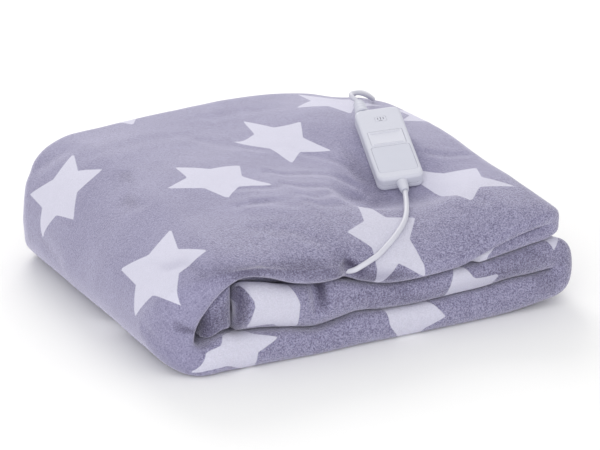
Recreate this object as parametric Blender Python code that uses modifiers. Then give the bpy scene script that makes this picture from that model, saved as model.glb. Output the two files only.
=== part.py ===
"""An electric heated blanket, folded into a bundle, with its hand controller, leads and mains plug.

The blanket is one fleece throw of 1.8 by 1.3 m. It is first folded lengthwise into three plies,
and that long strip is folded again into four layers, as a pad of about 0.46 by 0.40 by 0.13 m.
Lengths are in metres. The bundle's own frame has its zero at the front left corner on the floor,
with x along the front, y into the depth and z up; MIDDLE moves it to the middle of the bundle.
"""
import math

import bmesh
import bpy
import numpy as np
from mathutils import Matrix, Vector
from mathutils.geometry import tessellate_polygon

MM = 0.001

# Place of the bundle
MIDDLE = (0.222, 0.200)          # middle of the bundle, from its front left corner

# One layer of the folded strip, as shares of its thickness
PLY_SHARE = 0.30                   # one ply of fleece
SLIT_SHARE = 0.05                  # the gap between two plies
FRONT_NOSE = 0.38                  # how far a folded edge rounds outward, in layer thicknesses
BACK_NOSE = 0.32
ROUNDNESS = 0.8                    # 1 is a round fold, and less is a squarer one
END_SHARE = 0.62                   # the plies thin out to this at the strip's two ends
END_SWELL = 0.0015
SLIT_FRONT = 11.0 * MM             # the slits between plies stop this far behind the front line
LOWER_PLY_END = 18.0 * MM          # the lower ply stops this far before the back line
CROWDING = 1.2 * MM                # least distance between depths where an edge is drawn in
FAR_FRONT = -1.0                   # depths that stand for the front and the back line
FAR_BACK = 1.0

# Heights of the four layers before they settle, each a little apart
BOTTOM_LAYER = (0.0, 30.0 * MM)
MIDDLE_LAYER = (31.0 * MM, 61.0 * MM)
INNER_LAYER = (62.0 * MM, 81.0 * MM)
TOP_LAYER = (83.0 * MM, 113.0 * MM)

# Where the strip turns, along the front
LEFT_SIDE_X = -13.0 * MM
UPPER_TURN_X = 412.0 * MM
LOWER_TURN_X = 426.0 * MM
UPPER_RIGHT_X = 440.0 * MM
LOWER_RIGHT_X = 457.0 * MM
INNER_END_X = 67.0 * MM
INNER_END_Z = 34.0 * MM
LEFT_TURN_X = 61.5 * MM
LEFT_FOOT_X = 31.0 * MM
RIGHT_LIFT_FROM = 350.0 * MM       # the lower turn lifts off the floor from here
RIGHT_LIFT = 10.0 * MM

# Seams between the layers along the front edge, in millimetres:
# x, top of the bottom layer, top of the middle layer, underside of the top layer
FRONT_SEAMS = (
    (30, 34, 66, 84),
    (52, 40, 80, 90),
    (67, 37, 92, 97),
    (93, 35, 90, 94),
    (127, 30, 78, 81),
    (155, 25, 74, 76),
    (178, 29, 74, 76),
    (196, 34, 69, 71),
    (233, 32, 59, 61),
    (266, 31, 57, 60),
    (294, 32, 59, 62),
    (318, 33, 61, 65),
    (342, 34, 61, 73),
    (377, 38, 66, 84),
    (407, 38, 71, 90),
    (440, 41, 75, 93),
)
INNER_SEAMS = (31.0 * MM, 61.0 * MM, 80.0 * MM)   # the same seams well inside the bundle
SEAM_DEPTH = 80.0 * MM                            # where the front seams have turned into these
SEAM_GAP_HALF = 0.7 * MM                          # half of the gap between two layers

# All layers have their stations and depths on one grid, in millimetres, so they lie evenly together
GRID_X = (93, 127, 155, 178, 196, 233, 266, 318, 342, 377, 407)
GRID_Y = (12, 28, 48, 75, 110, 135, 220, 320)
SLIT_Y = (28, 75, 110, 220)

# Top of the bundle, in millimetres: x, then the height at each depth
TOP_DEPTHS = (4, 17, 35, 56, 84, 119, 200, 300, 385)
TOP_HEIGHTS = (
    (20, 105, 110, 114, 117, 119.5, 121.5, 125, 127, 124),
    (70, 107, 113, 117.5, 120.5, 123.5, 126, 130, 132, 130),
    (130, 97, 107, 115, 121, 125.5, 129, 133.5, 136.5, 136),
    (190, 89, 101, 110.5, 118, 123.5, 127, 132, 137.5, 138),
    (250, 81, 94, 104, 112, 117.5, 121, 129.5, 138, 139),
    (310, 79, 91, 101, 107.5, 110, 112, 133, 140, 138),
    (345, 88, 98, 106, 112, 115, 117, 138, 140, 133),
    (380, 100, 108, 113.5, 117, 119, 120.5, 132, 135, 122),
    (440, 110, 113.5, 116, 117.8, 119.8, 121.6, 127, 124, 111),
)

# How the top is pressed under the hand controller
REST_GAP = 0.8 * MM
REST_BLEND = 0.8 * MM
REST_SIDE_MARGIN = 16.0 * MM
REST_END_MARGIN = 5.0 * MM
REST_SLOPE = 30.0                  # how quickly the cloth may rise again beyond the margins

# Rounded corners of the bundle, seen from above
FRONT_LEFT_RADIUS = 56.0 * MM
BACK_LEFT_RADIUS = 50.0 * MM
FRONT_RIGHT_RADIUS = 17.0 * MM
BACK_RIGHT_RADIUS = 45.0 * MM

# Dent in the front of the top layer, where the lead goes into the cloth
DENT_X = 188.0 * MM
DENT_WIDTH = 9.0 * MM
DENT_DEPTH = 9.0 * MM

# A sharp tuck in the front of the middle layer
TUCK_X = 155.0 * MM
TUCK_WIDTH = 6.0 * MM
TUCK_DEPTH = 10.0 * MM

# Hand controller, in its own frame: across, lengthwise to the mains end, and up from its base
CONTROLLER_SIZE = (49.0 * MM, 122.5 * MM, 15.5 * MM)
CONTROLLER_FACE = (327.2 * MM, 175.1 * MM, 142.7 * MM)   # middle of its face, in the bundle's frame
CONTROLLER_AIM = (25.6, 91.8, 30.4)                      # where its mains end points
CONTROLLER_ROLL = math.radians(5.1)
BASE_HEIGHT = 6.0 * MM
SEAM_GAP = 0.33 * MM
CORNER_RADIUS = 8.0 * MM
FACE_EDGE = 3.5 * MM
BUTTON_SIZE = (37.0 * MM, 24.4 * MM, 3.4 * MM)
BUTTON_Y = 8.2 * MM
BUTTON_GAP = 0.4 * MM
BUTTON_RIDGE = (1.6 * MM, 1.0 * MM)                      # width and height of its two cross ridges
BUTTON_POCKET = 5.2 * MM
PANEL_SIZE = (41.0 * MM, 43.6 * MM, 0.9 * MM)
PANEL_Y = -27.9 * MM
WINDOW_SIZE = (12.0 * MM, 8.5 * MM, 0.8 * MM)
WINDOW_PLACE = (0.5 * MM, 41.0 * MM)
SEAT_GAP = 0.33 * MM

# Strain reliefs: side offset, height, length, radius at the housing and at the tip
LEAD_RELIEF = (1.0 * MM, 8.2 * MM, 14.0 * MM, 5.9 * MM, 4.2 * MM)
MAINS_RELIEF = (-14.5 * MM, 8.2 * MM, 20.0 * MM, 7.0 * MM, 5.4 * MM)
RELIEF_RINGS = 4
RELIEF_GROOVE = 0.8 * MM

# Leads
LEAD_DIAMETER = 5.6 * MM
MAINS_DIAMETER = 5.2 * MM
CORD_STEP = 2.6                    # tube points lie this many diameters apart
CORD_GAP = 1.6 * MM                # from a relief's tip to its cord

# Route of the lead from the controller into the blanket's front edge, in millimetres
LEAD_ROUTE = (
    (307.3, 97.6, 110.4), (302.6, 89.5, 110.9), (296.0, 80.0, 111.7), (288.0, 67.5, 112.2),
    (279.0, 53.0, 111.1), (268.6, 39.5, 108.0), (260.6, 31.3, 105.5), (252.6, 24.5, 102.9),
    (245.0, 19.5, 100.3), (237.5, 15.2, 97.7), (229.3, 10.6, 95.1), (221.3, 6.9, 92.7),
    (213.3, 3.4, 90.8), (205.3, 0.4, 88.9), (198.5, -1.0, 86.6), (193.0, -0.4, 83.9),
)
# Route of the mains lead from the controller, over the back edge and down to its coil
MAINS_ROUTE = (
    (336.0, 262.0, 161.3), (334.0, 268.6, 163.6), (336.0, 274.8, 164.4), (344.0, 281.4, 162.8),
    (355.1, 289.2, 158.8), (367.5, 298.2, 152.2), (379.7, 310.0, 143.8), (390.5, 324.0, 136.2),
    (397.5, 339.0, 132.0), (401.0, 354.0, 130.6), (402.8, 368.0, 128.8), (403.6, 382.0, 125.0),
    (404.2, 395.0, 118.0), (404.6, 405.5, 106.0), (404.8, 410.5, 91.0), (404.6, 411.5, 74.0),
    (404.2, 412.0, 57.0), (403.6, 413.0, 40.0), (402.4, 415.5, 23.5), (401.6, 422.0, 10.8),
    (401.3, 432.0, 5.2), (401.4, 446.0, 4.3),
)

# Coil of the mains lead behind the bundle, in the bundle's frame
COIL_CENTRE = (361.5 * MM, 448.0 * MM)
COIL_RADIUS = 29.0 * MM            # at the middle of its turns
COIL_PITCH = 5.5 * MM              # from turn to turn
COIL_ROWS = 3                      # turns across, and also turns high
COIL_FLOOR = 1.5 * MM              # the tie passes under the turns
TIE_ANGLE = math.radians(205)
TIE_WIDTH = 8.0 * MM
TIE_THICKNESS = 1.0 * MM
TAIL_ROUTE = ((361.0, 488.15, 9.7), (352.0, 488.5, 9.3), (342.0, 488.6, 8.3), (332.9, 488.6, 7.6))

# Mains plug with two round pins, lying flat beside the coil
PLUG_SIZE = (35.0 * MM, 36.0 * MM, 13.6 * MM)       # across the pins, along them, and thick
PLUG_NECK = (0.46, 0.80)                            # how much narrower and thinner its cord end is
PLUG_TIP = (332.5, 488.6, 7.5)                      # tip of its sleeve, in millimetres
PLUG_SLEEVE = (0.0, 0.0, 21.0 * MM, 5.0 * MM, 3.7 * MM)
PIN_RADIUS = 2.0 * MM
PIN_ROOT_RADIUS = 1.85 * MM
PIN_LENGTH = 19.0 * MM
PIN_ROOT_LENGTH = 10.0 * MM
PIN_SPACING = 18.6 * MM


def smooth_step(share):
    """Rise smoothly from 0 to 1 while the share goes from 0 to 1."""
    share = np.clip(share, 0.0, 1.0)
    return share * share * (3.0 - 2.0 * share)


def smooth_curve(knots, values, at):
    """Read a smooth curve through the knots. Values may hold one column of knots for each place."""
    knots = np.asarray(knots, float)
    at = np.clip(np.asarray(at, float), knots[0], knots[-1])
    values = np.broadcast_to(np.asarray(values, float), at.shape + (len(knots),))
    steps = np.diff(knots)
    slopes = np.diff(values, axis=-1) / steps
    tangents = np.empty_like(values)
    tangents[..., 0] = slopes[..., 0]
    tangents[..., -1] = slopes[..., -1]
    tangents[..., 1:-1] = (slopes[..., 1:] * steps[:-1] + slopes[..., :-1] * steps[1:]) \
        / (steps[:-1] + steps[1:])
    cell = np.clip(np.searchsorted(knots, at, side="right") - 1, 0, len(knots) - 2)
    width = steps[cell]
    share = (at - knots[cell]) / width

    def pick(rows, offset):
        return np.take_along_axis(rows, (cell + offset)[..., None], axis=-1)[..., 0]

    start, end = pick(values, 0), pick(values, 1)
    leave, arrive = pick(tangents, 0) * width, pick(tangents, 1) * width
    return (2 * share**3 - 3 * share**2 + 1) * start + (share**3 - 2 * share**2 + share) * leave \
        + (3 * share**2 - 2 * share**3) * end + (share**3 - share**2) * arrive


# ---------------------------------------------------------------- the folded strip

def straight(x_from, x_to, inner_z, outer_z, fronts, backs, extra=()):
    """Stations along a flat run: inner point, outer point, front edge and back edge.

    They lie on the lines of the grid, with a few extra ones where an edge has a small detail.
    """
    low, high = min(x_from, x_to), max(x_from, x_to)
    places = [x * MM for x in (*GRID_X, *extra) if low + 1 * MM < x * MM < high - 1 * MM]
    rows = []
    for x in sorted(places, reverse=x_to < x_from) + [x_to]:
        place = (x - x_from) / (x_to - x_from)
        front = fronts[0] + (fronts[1] - fronts[0]) * place
        back = backs[0] + (backs[1] - backs[0]) * place
        rows.append((x, inner_z, x, outer_z, front, back))
    return rows


def turn(centre, inner, outer, angles, fronts, backs, count):
    """Stations around a fold. Inner and outer are radii: across, then up at the start and end."""
    rows = []
    for step in range(1, count + 1):
        place = step / count
        angle = math.radians(angles[0] + (angles[1] - angles[0]) * place)
        row = []
        for across, up_start, up_end in (inner, outer):
            up = up_start + (up_end - up_start) * smooth_step(place)
            row += [centre[0] + across * math.cos(angle), centre[1] + up * math.sin(angle)]
        front = fronts[0] + (fronts[1] - fronts[0]) * place
        back = backs[0] + (backs[1] - backs[0]) * place
        rows.append((*row, front, back))
    return rows


def fold_stations():
    """The strip's stations, from its inner end to the end of its middle layer."""
    rows = []
    # the inner end hangs down in the hollow behind the left side
    outer_x = INNER_END_X - 1 * MM
    for z, width in ((INNER_END_Z, 32), (INNER_END_Z + 3 * MM, 33), (48 * MM, 32), (MIDDLE_LAYER[1], 31)):
        rows.append((outer_x - width * MM, z, outer_x, z, 12 * MM, 384 * MM))
    rows += turn((INNER_END_X, MIDDLE_LAYER[1]), (32 * MM, 20 * MM, 20 * MM), (1 * MM, 1 * MM, 1 * MM),
                 (180, 90), (12 * MM, 20 * MM), (384 * MM, 390 * MM), 4)
    inner_run = (INNER_LAYER[1], INNER_LAYER[0])
    rows += straight(INNER_END_X, 0.127, *inner_run, (20 * MM, 38 * MM), (0.390, 0.392))
    rows += straight(0.127, 0.318, *inner_run, (38 * MM, 38 * MM), (0.392, 0.392))
    rows += straight(0.318, 0.342, *inner_run, (38 * MM, 9 * MM), (0.392, 0.396))
    rows += straight(0.342, UPPER_TURN_X, *inner_run, (9 * MM, 7 * MM), (0.396, 0.398))
    crease = (UPPER_TURN_X, (INNER_LAYER[1] + TOP_LAYER[0]) / 2)
    rows += turn(crease, (1 * MM, 1 * MM, 1 * MM), (28 * MM, 20 * MM, 31 * MM),
                 (-90, 90), (7 * MM, 0), (0.398, 0.399), 7)
    rows += straight(UPPER_TURN_X, LEFT_TURN_X, *TOP_LAYER, (0, 0), (0.399, 0.400),
                     (67, 110, 183, 188, 193, 205, 292))
    rows += turn((LEFT_TURN_X, 38 * MM), (37.5 * MM, 45 * MM, 45 * MM), (74.5 * MM, 75 * MM, 75 * MM),
                 (90, 180), (0, 3 * MM), (0.400, 0.400), 8)
    rows += turn((LEFT_FOOT_X, 37 * MM), (7 * MM, 7 * MM, 7 * MM), (44 * MM, 37 * MM, 37 * MM),
                 (180, 270), (3 * MM, 1 * MM), (0.400, 0.398), 5)
    bottom_run = (BOTTOM_LAYER[1], BOTTOM_LAYER[0])
    rows += straight(LEFT_FOOT_X, LOWER_TURN_X, *bottom_run, (1 * MM, 0), (0.398, 0.394), (52, 67))
    crease = (LOWER_TURN_X, (BOTTOM_LAYER[1] + MIDDLE_LAYER[0]) / 2)
    rows += turn(crease, (0.5 * MM, 0.5 * MM, 0.5 * MM), (31 * MM, 30.5 * MM, 30.5 * MM),
                 (-90, 90), (0, 3 * MM), (0.394, 0.392), 7)
    rows += straight(LOWER_TURN_X, INNER_END_X + 1 * MM, *MIDDLE_LAYER, (3 * MM, 6 * MM), (0.392, 0.396),
                     (149, 161, 72))
    return np.array(rows)


def layer_outline(ply, swell):
    """Outline of one layer across its depth.

    Each point has a depth, the least distances that it keeps from the front and the back line, its
    nose in thicknesses, and its height share. The strip's edges are folded under from both sides, so
    a layer has three plies. The front edge is one fold around the middle ply, and the back edge a
    fold of the upper two. Each ply swells a little in its middle.
    """
    pitch = PLY_SHARE + SLIT_SHARE
    low = (PLY_SHARE - ply) / 2
    lower, middle, upper = [(pitch * row + low, pitch * row + low + ply) for row in range(3)]
    points = []

    def line(depths, height, side, front_rest=0.0, back_rest=0.0):
        rows = []
        for index, depth in enumerate(depths):
            before, after = index + 1, len(depths) - index
            rows.append((depth * MM, front_rest + before * CROWDING, back_rest + after * CROWDING,
                         0.0, height + side * swell * before * after))
        return [(FAR_FRONT, front_rest, 0.0, 0.0, height), *rows, (FAR_BACK, 0.0, back_rest, 0.0, height)]

    def bend(depth, rests, start, end, reach, count):
        centre, radius = (start + end) / 2, (end - start) / 2
        for step in range(1, count + 1):
            angle = math.pi * step / (count + 1)
            across, up = math.sin(angle) ** ROUNDNESS, math.cos(angle)
            up = math.copysign(abs(up) ** ROUNDNESS, up)
            points.append((depth, *rests, reach * across, centre - radius * up))

    points.extend(reversed(line(GRID_Y, lower[0], -1, 0.0, LOWER_PLY_END)))
    bend(FAR_FRONT, (0.0, 0.0), lower[0], upper[1], -FRONT_NOSE, 5)
    points.extend(line(GRID_Y, upper[1], 1))
    bend(FAR_BACK, (0.0, 0.0), upper[1], middle[0], BACK_NOSE, 4)
    points.extend(reversed(line(SLIT_Y, middle[0], -1, SLIT_FRONT)))
    bend(FAR_FRONT, (SLIT_FRONT, 0.0), middle[0], middle[1], -0.10, 2)
    points.extend(line(SLIT_Y, middle[1], 1, SLIT_FRONT))
    points.append((FAR_BACK, 0.0, 0.0, 0.03, (middle[1] + upper[0]) / 2))
    points.extend(reversed(line(SLIT_Y, upper[0], -1, SLIT_FRONT)))
    bend(FAR_FRONT, (SLIT_FRONT, 0.0), upper[0], lower[1], -0.25, 3)
    points.extend(line(SLIT_Y, lower[1], 1, SLIT_FRONT, LOWER_PLY_END))
    bend(FAR_BACK, (0.0, LOWER_PLY_END), lower[1], lower[0], 0.13, 2)
    return np.array(points)


def corner_setback(x, z, front):
    """How far a rounded corner draws the front or back edge in."""
    left, right = (FRONT_LEFT_RADIUS, FRONT_RIGHT_RADIUS) if front else (BACK_LEFT_RADIUS, BACK_RIGHT_RADIUS)
    right_x = LOWER_RIGHT_X + (UPPER_RIGHT_X - LOWER_RIGHT_X) * smooth_step((z - 50 * MM) / (30 * MM))
    total = np.zeros_like(x)
    for radius, inside in ((left, x - LEFT_SIDE_X), (right, right_x - x)):
        reach = np.clip(radius - inside, 0.0, radius * 0.985)
        total += radius - np.sqrt(radius**2 - reach**2)
    return total


def seam_height(column, inner, x, y):
    """Height of a seam, even between the lines of the grid."""
    seams = np.array(FRONT_SEAMS, float)
    knots_x = np.array((30, 52, 67, *GRID_X, 440)) * MM
    knots_y = np.array((0, *GRID_Y, 400)) * MM
    at_front = smooth_curve(seams[:, 0] * MM, seams[:, column] * MM, knots_x)
    share = smooth_step(knots_y / SEAM_DEPTH)
    table = at_front[:, None] + (inner - at_front[:, None]) * share[None, :]

    def place(knots, at):
        at = np.clip(at, knots[0], knots[-1])
        cell = np.clip(np.searchsorted(knots, at, side="right") - 1, 0, len(knots) - 2)
        return cell, (at - knots[cell]) / (knots[cell + 1] - knots[cell])

    column_x, share_x = place(knots_x, x)
    row_y, share_y = place(knots_y, y)
    near = table[column_x, row_y] * (1 - share_x) + table[column_x + 1, row_y] * share_x
    far = table[column_x, row_y + 1] * (1 - share_x) + table[column_x + 1, row_y + 1] * share_x
    return near * (1 - share_y) + far * share_y


def top_height(x, y):
    """Height of the top of the bundle, pressed flat under the hand controller."""
    heights = np.array(TOP_HEIGHTS, float)
    columns = [smooth_curve(np.array(TOP_DEPTHS) * MM, row[1:] * MM, y) for row in heights]
    top = smooth_curve(heights[:, 0] * MM, np.stack(columns, axis=-1), x)
    top += 0.9 * MM * (np.sin(31 * x + 17 * y) + np.sin(47 * y - 23 * x + 1.0)) * smooth_step(y / 0.1)
    frame = controller_matrix()
    across, lengthwise, up = (np.array(frame.col[axis][:3]) for axis in range(3))
    foot = np.array(frame.translation) + np.array((*MIDDLE, 0.0))
    plane = foot[2] - (up[0] * (x - foot[0]) + up[1] * (y - foot[1])) / up[2]
    beside = np.abs((x - foot[0]) * across[0] + (y - foot[1]) * across[1]) - CONTROLLER_SIZE[0] / 2
    beyond = np.abs((x - foot[0]) * lengthwise[0] + (y - foot[1]) * lengthwise[1]) - CONTROLLER_SIZE[1] / 2
    away = np.hypot(np.maximum(beside - REST_SIDE_MARGIN, 0), np.maximum(beyond - REST_END_MARGIN, 0))
    limit = plane - REST_GAP + REST_SLOPE * away**2
    return -REST_BLEND * np.logaddexp(-top / REST_BLEND, -limit / REST_BLEND)


def settle(x, y, z):
    """Height that a point takes once the layers have settled on each other."""
    wanted = [seam_height(column, inner, x, y) for column, inner in zip((1, 2, 3), INNER_SEAMS)]
    top = top_height(x, y)
    lift = RIGHT_LIFT * smooth_step((x - RIGHT_LIFT_FROM) / (0.10)) ** 1.3
    gap = SEAM_GAP_HALF
    levels = [lift, wanted[0] - gap, wanted[0] + gap, wanted[1] - gap, wanted[1] + gap,
              wanted[2] - gap, wanted[2] + gap, top]
    flat = [BOTTOM_LAYER[0], BOTTOM_LAYER[1], MIDDLE_LAYER[0], MIDDLE_LAYER[1],
            INNER_LAYER[0], INNER_LAYER[1], TOP_LAYER[0], TOP_LAYER[1]]
    for level in range(1, 8):
        levels[level] = np.maximum(levels[level], levels[level - 1] + 0.3 * MM)
    settled = np.zeros_like(z)
    for low in range(7):
        inside = (z >= flat[low]) if low else np.ones(z.shape, bool)
        share = (z - flat[low]) / (flat[low + 1] - flat[low])
        settled = np.where(inside, levels[low] + share * (levels[low + 1] - levels[low]), settled)
    plain = z * (top / TOP_LAYER[1])
    from_left = smooth_step((x - 20 * MM) / (36 * MM))
    return plain + (settled - plain) * from_left


def strip_points():
    """Points of the whole folded strip: one closed outline for each station."""
    rows = fold_stations()
    outline = np.stack([layer_outline(PLY_SHARE, 0.0)] * len(rows))
    for end in (0, -1):
        outline[end] = layer_outline(PLY_SHARE * END_SHARE, END_SWELL)
    depth, front_rest, back_rest, nose, height = np.moveaxis(outline, -1, 0)
    inner, outer = rows[:, None, 0:2], rows[:, None, 2:4]
    cross = inner + (outer - inner) * height[..., None]
    x, z = cross[..., 0], cross[..., 1]
    front = rows[:, None, 4] + corner_setback(x, z, True)
    back = rows[:, None, 5] - corner_setback(x, z, False)
    run = np.abs(rows[:, 2] - rows[:, 0])[:, None]
    thickness = []
    for edge in (front, back):
        low = settle(rows[:, None, 0] + 0 * x, edge, rows[:, None, 1] + 0 * z)
        high = settle(rows[:, None, 2] + 0 * x, edge, rows[:, None, 3] + 0 * z)
        thickness.append(np.sqrt((high - low) ** 2 + run**2))
    front = front + FRONT_NOSE * thickness[0]
    back = back - BACK_NOSE * thickness[1]
    y = np.minimum(np.maximum(depth, front + front_rest), back - back_rest)
    y = y + nose * np.where(depth < 0, thickness[0], thickness[1])
    in_middle_layer = smooth_step((z - 38 * MM) / (12 * MM)) * (z < MIDDLE_LAYER[1] + 0.5 * MM)
    tucked = np.exp(-(((x - TUCK_X) / TUCK_WIDTH) ** 2)) * (1 - smooth_step(y / (60 * MM)))
    y = y + TUCK_DEPTH * in_middle_layer * tucked
    dented = np.exp(-(((x - DENT_X) / DENT_WIDTH) ** 2)) * (1 - smooth_step(y / (30 * MM)))
    y = y + DENT_DEPTH * dented * (z > TOP_LAYER[0] - 0.5 * MM)
    settled = settle(x, y, z)
    return np.stack([x, y, settled], axis=-1)


def make_blanket(collection):
    points = strip_points()
    stations, around = points.shape[:2]
    mesh = bmesh.new()
    rings = []
    for row in points:
        rings.append([mesh.verts.new((p[0] - MIDDLE[0], p[1] - MIDDLE[1], p[2])) for p in row])
    for station in range(stations - 1):
        here, there = rings[station], rings[station + 1]
        for place in range(around):
            after = (place + 1) % around
            mesh.faces.new((here[place], here[after], there[after], there[place]))
    bmesh.ops.triangulate(mesh, faces=mesh.faces[:], quad_method="SHORT_EDGE")
    for ring in (rings[0], rings[-1]):
        for corners in tessellate_polygon([[vert.co for vert in ring]]):
            mesh.faces.new([ring[corner] for corner in corners])
    bmesh.ops.recalc_face_normals(mesh, faces=mesh.faces[:])
    data = bpy.data.meshes.new("blanket")
    mesh.to_mesh(data)
    mesh.free()
    blanket = bpy.data.objects.new("blanket", data)
    collection.objects.link(blanket)
    data.shade_smooth()
    data.set_sharp_from_angle(angle=math.radians(50))
    return blanket


# ---------------------------------------------------------------- hand controller

def controller_matrix():
    """Frame of the controller: its zero is the middle of its underside."""
    lengthwise = Vector(CONTROLLER_AIM).normalized()
    across = Vector((lengthwise.y, -lengthwise.x, 0)).normalized()
    across = Matrix.Rotation(-CONTROLLER_ROLL, 3, lengthwise) @ across
    up = across.cross(lengthwise)
    frame = Matrix((across, lengthwise, up)).transposed().to_4x4()
    face = Vector(CONTROLLER_FACE) - Vector((*MIDDLE, 0))
    frame.translation = face - up * CONTROLLER_SIZE[2]
    return frame


def finish_mesh(name, mesh, collection, parent, smooth_angle=40):
    data = bpy.data.meshes.new(name)
    mesh.to_mesh(data)
    mesh.free()
    item = bpy.data.objects.new(name, data)
    collection.objects.link(item)
    item.parent = parent
    data.shade_smooth()
    data.set_sharp_from_angle(angle=math.radians(smooth_angle))
    return item


def rounded_block(size, centre, corner, top_edge, bottom_edge, segments=3):
    """A block with round upright corners and rounded top or bottom edges."""
    mesh = bmesh.new()
    bmesh.ops.create_cube(mesh, size=1.0)
    bmesh.ops.scale(mesh, vec=size, verts=mesh.verts)
    bmesh.ops.translate(mesh, vec=centre, verts=mesh.verts)
    upright = [edge for edge in mesh.edges
               if abs(edge.verts[0].co.z - edge.verts[1].co.z) > size[2] * 0.9]
    if corner > 0:
        bmesh.ops.bevel(mesh, geom=upright, offset=corner, segments=segments, profile=0.5,
                        affect="EDGES")
    for edge_size, level in ((top_edge, centre[2] + size[2] / 2), (bottom_edge, centre[2] - size[2] / 2)):
        if edge_size > 0:
            rim = [edge for edge in mesh.edges
                   if all(abs(vert.co.z - level) < 1e-6 for vert in edge.verts)]
            bmesh.ops.bevel(mesh, geom=rim, offset=edge_size, segments=segments, profile=0.5,
                            affect="EDGES")
    return mesh


def cut(item, cutter):
    """Cut one object with another that stays hidden."""
    step = item.modifiers.new("cut_" + cutter.name, "BOOLEAN")
    step.operation = "DIFFERENCE"
    step.object = cutter


def make_cutter(name, size, centre, corner, collection, parent):
    item = finish_mesh(name, rounded_block(size, centre, corner, 0, 0), collection, parent)
    item.hide_render = True
    item.display_type = "WIRE"
    return item


def make_controller(collection, cutters, frame):
    width, length, height = CONTROLLER_SIZE
    base_top = BASE_HEIGHT
    base = finish_mesh("controller_base", rounded_block(
        (width, length, base_top), (0, 0, base_top / 2), CORNER_RADIUS, 0, 2.5 * MM), collection, frame)
    cover_low = base_top + SEAM_GAP
    cover = finish_mesh("controller_cover", rounded_block(
        (width, length, height - cover_low), (0, 0, (height + cover_low) / 2), CORNER_RADIUS,
        FACE_EDGE, 0), collection, frame)

    gap = 2 * BUTTON_GAP
    pocket = make_cutter("button_pocket", (BUTTON_SIZE[0] + gap, BUTTON_SIZE[1] + gap, 2 * BUTTON_POCKET),
                         (0, BUTTON_Y, height), 2.0 * MM + BUTTON_GAP, cutters, frame)
    cut(cover, pocket)
    gap = 2 * SEAT_GAP
    seat = make_cutter("panel_seat", (PANEL_SIZE[0] + gap, PANEL_SIZE[1] + gap, 2 * PANEL_SIZE[2]),
                       (0, PANEL_Y, height), 3.0 * MM + SEAT_GAP, cutters, frame)
    cut(cover, seat)
    seat = make_cutter("window_seat", (WINDOW_SIZE[0] + gap, WINDOW_SIZE[1] + gap, 2 * WINDOW_SIZE[2]),
                       (*WINDOW_PLACE, height), 1.5 * MM, cutters, frame)
    cut(cover, seat)

    panel_low = height - PANEL_SIZE[2] + SEAT_GAP
    panel_top = height - 0.1 * MM
    panel = finish_mesh("face_panel", rounded_block(
        (PANEL_SIZE[0], PANEL_SIZE[1], panel_top - panel_low),
        (0, PANEL_Y, (panel_top + panel_low) / 2), 3.0 * MM, 0, 0), collection, frame)
    window_low = height - WINDOW_SIZE[2] + SEAT_GAP
    window = finish_mesh("indicator_window", rounded_block(
        (WINDOW_SIZE[0], WINDOW_SIZE[1], height - window_low),
        (*WINDOW_PLACE, (height + window_low) / 2), 1.2 * MM, 0, 0), collection, frame)

    button = make_button(collection, cutters, frame)
    return base, cover, panel, window, button


def make_button(collection, cutters, frame):
    """The wide push button, whose origin lies on the line that it moves along."""
    mesh = rounded_block(BUTTON_SIZE, (0, 0, -BUTTON_SIZE[2] / 2), 2.0 * MM, 0.4 * MM, 0, 2)
    button = finish_mesh("press_button", mesh, collection, frame)
    button.location = (0, BUTTON_Y, CONTROLLER_SIZE[2])
    ridge_width, ridge_height = BUTTON_RIDGE
    for side, label in ((-1, "near"), (1, "far")):
        place = (0, side * (BUTTON_SIZE[1] / 2 - ridge_width), 0)
        ridge = finish_mesh("ridge_" + label, rounded_block(
            (BUTTON_SIZE[0] - 5 * MM, ridge_width, 2 * ridge_height), place, 0.5 * MM, 0.5 * MM, 0, 2),
            cutters, button)
        ridge.hide_render = True
        ridge.display_type = "WIRE"
        join = button.modifiers.new("ridge_" + label, "BOOLEAN")
        join.operation = "UNION"
        join.object = ridge
    return button


def ribbed_sleeve(name, sizes, collection, parent):
    """A ribbed, tapered sleeve that leads a cord out, from its root at zero up along Z."""
    length, root, tip = sizes
    curve = [(0, 0), (root, 0)]
    pitch = length / (RELIEF_RINGS + 0.5)
    for ring in range(RELIEF_RINGS):
        middle = (ring + 0.6) * pitch
        radius = root + (tip - root) * middle / length
        for along, depth in ((-0.30, 0), (-0.15, RELIEF_GROOVE), (0.15, RELIEF_GROOVE), (0.30, 0)):
            curve.append((radius - depth, middle + along * pitch))
    curve += [(tip, length - 1.0 * MM), (tip - 0.8 * MM, length), (0, length)]
    mesh = bmesh.new()
    points = [mesh.verts.new((radius, 0, height)) for radius, height in reversed(curve)]
    for first, second in zip(points, points[1:]):
        mesh.edges.new((first, second))
    item = finish_mesh(name, mesh, collection, parent)
    spin(item, 14)
    return item


def spin(item, steps):
    """Turn a profile about its own Z axis."""
    turned = item.modifiers.new("turn", "SCREW")
    turned.axis = "Z"
    turned.steps = steps
    turned.render_steps = steps
    turned.use_merge_vertices = True
    turned.merge_threshold = 0.00001
    turned.use_smooth_shade = True


def make_reliefs(collection, frame):
    for name, sizes, side in (("lead_relief", LEAD_RELIEF, -1), ("mains_relief", MAINS_RELIEF, 1)):
        offset, level = sizes[:2]
        item = ribbed_sleeve(name, sizes[2:], collection, frame)
        item.location = (offset, side * (CONTROLLER_SIZE[1] / 2 + SEAT_GAP), level)
        item.rotation_euler = (math.radians(-90 * side), 0, 0)


# ---------------------------------------------------------------- leads, coil and plug

def in_bundle(point):
    """A point given in millimetres in the bundle's frame."""
    return Vector(point) * MM - Vector((*MIDDLE, 0))


def relief_tip(frame, sizes, side):
    """Where a cord leaves the tip of its relief."""
    along = side * (CONTROLLER_SIZE[1] / 2 + SEAT_GAP + sizes[2] + CORD_GAP)
    return frame @ Vector((sizes[0], along, sizes[1]))


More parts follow.
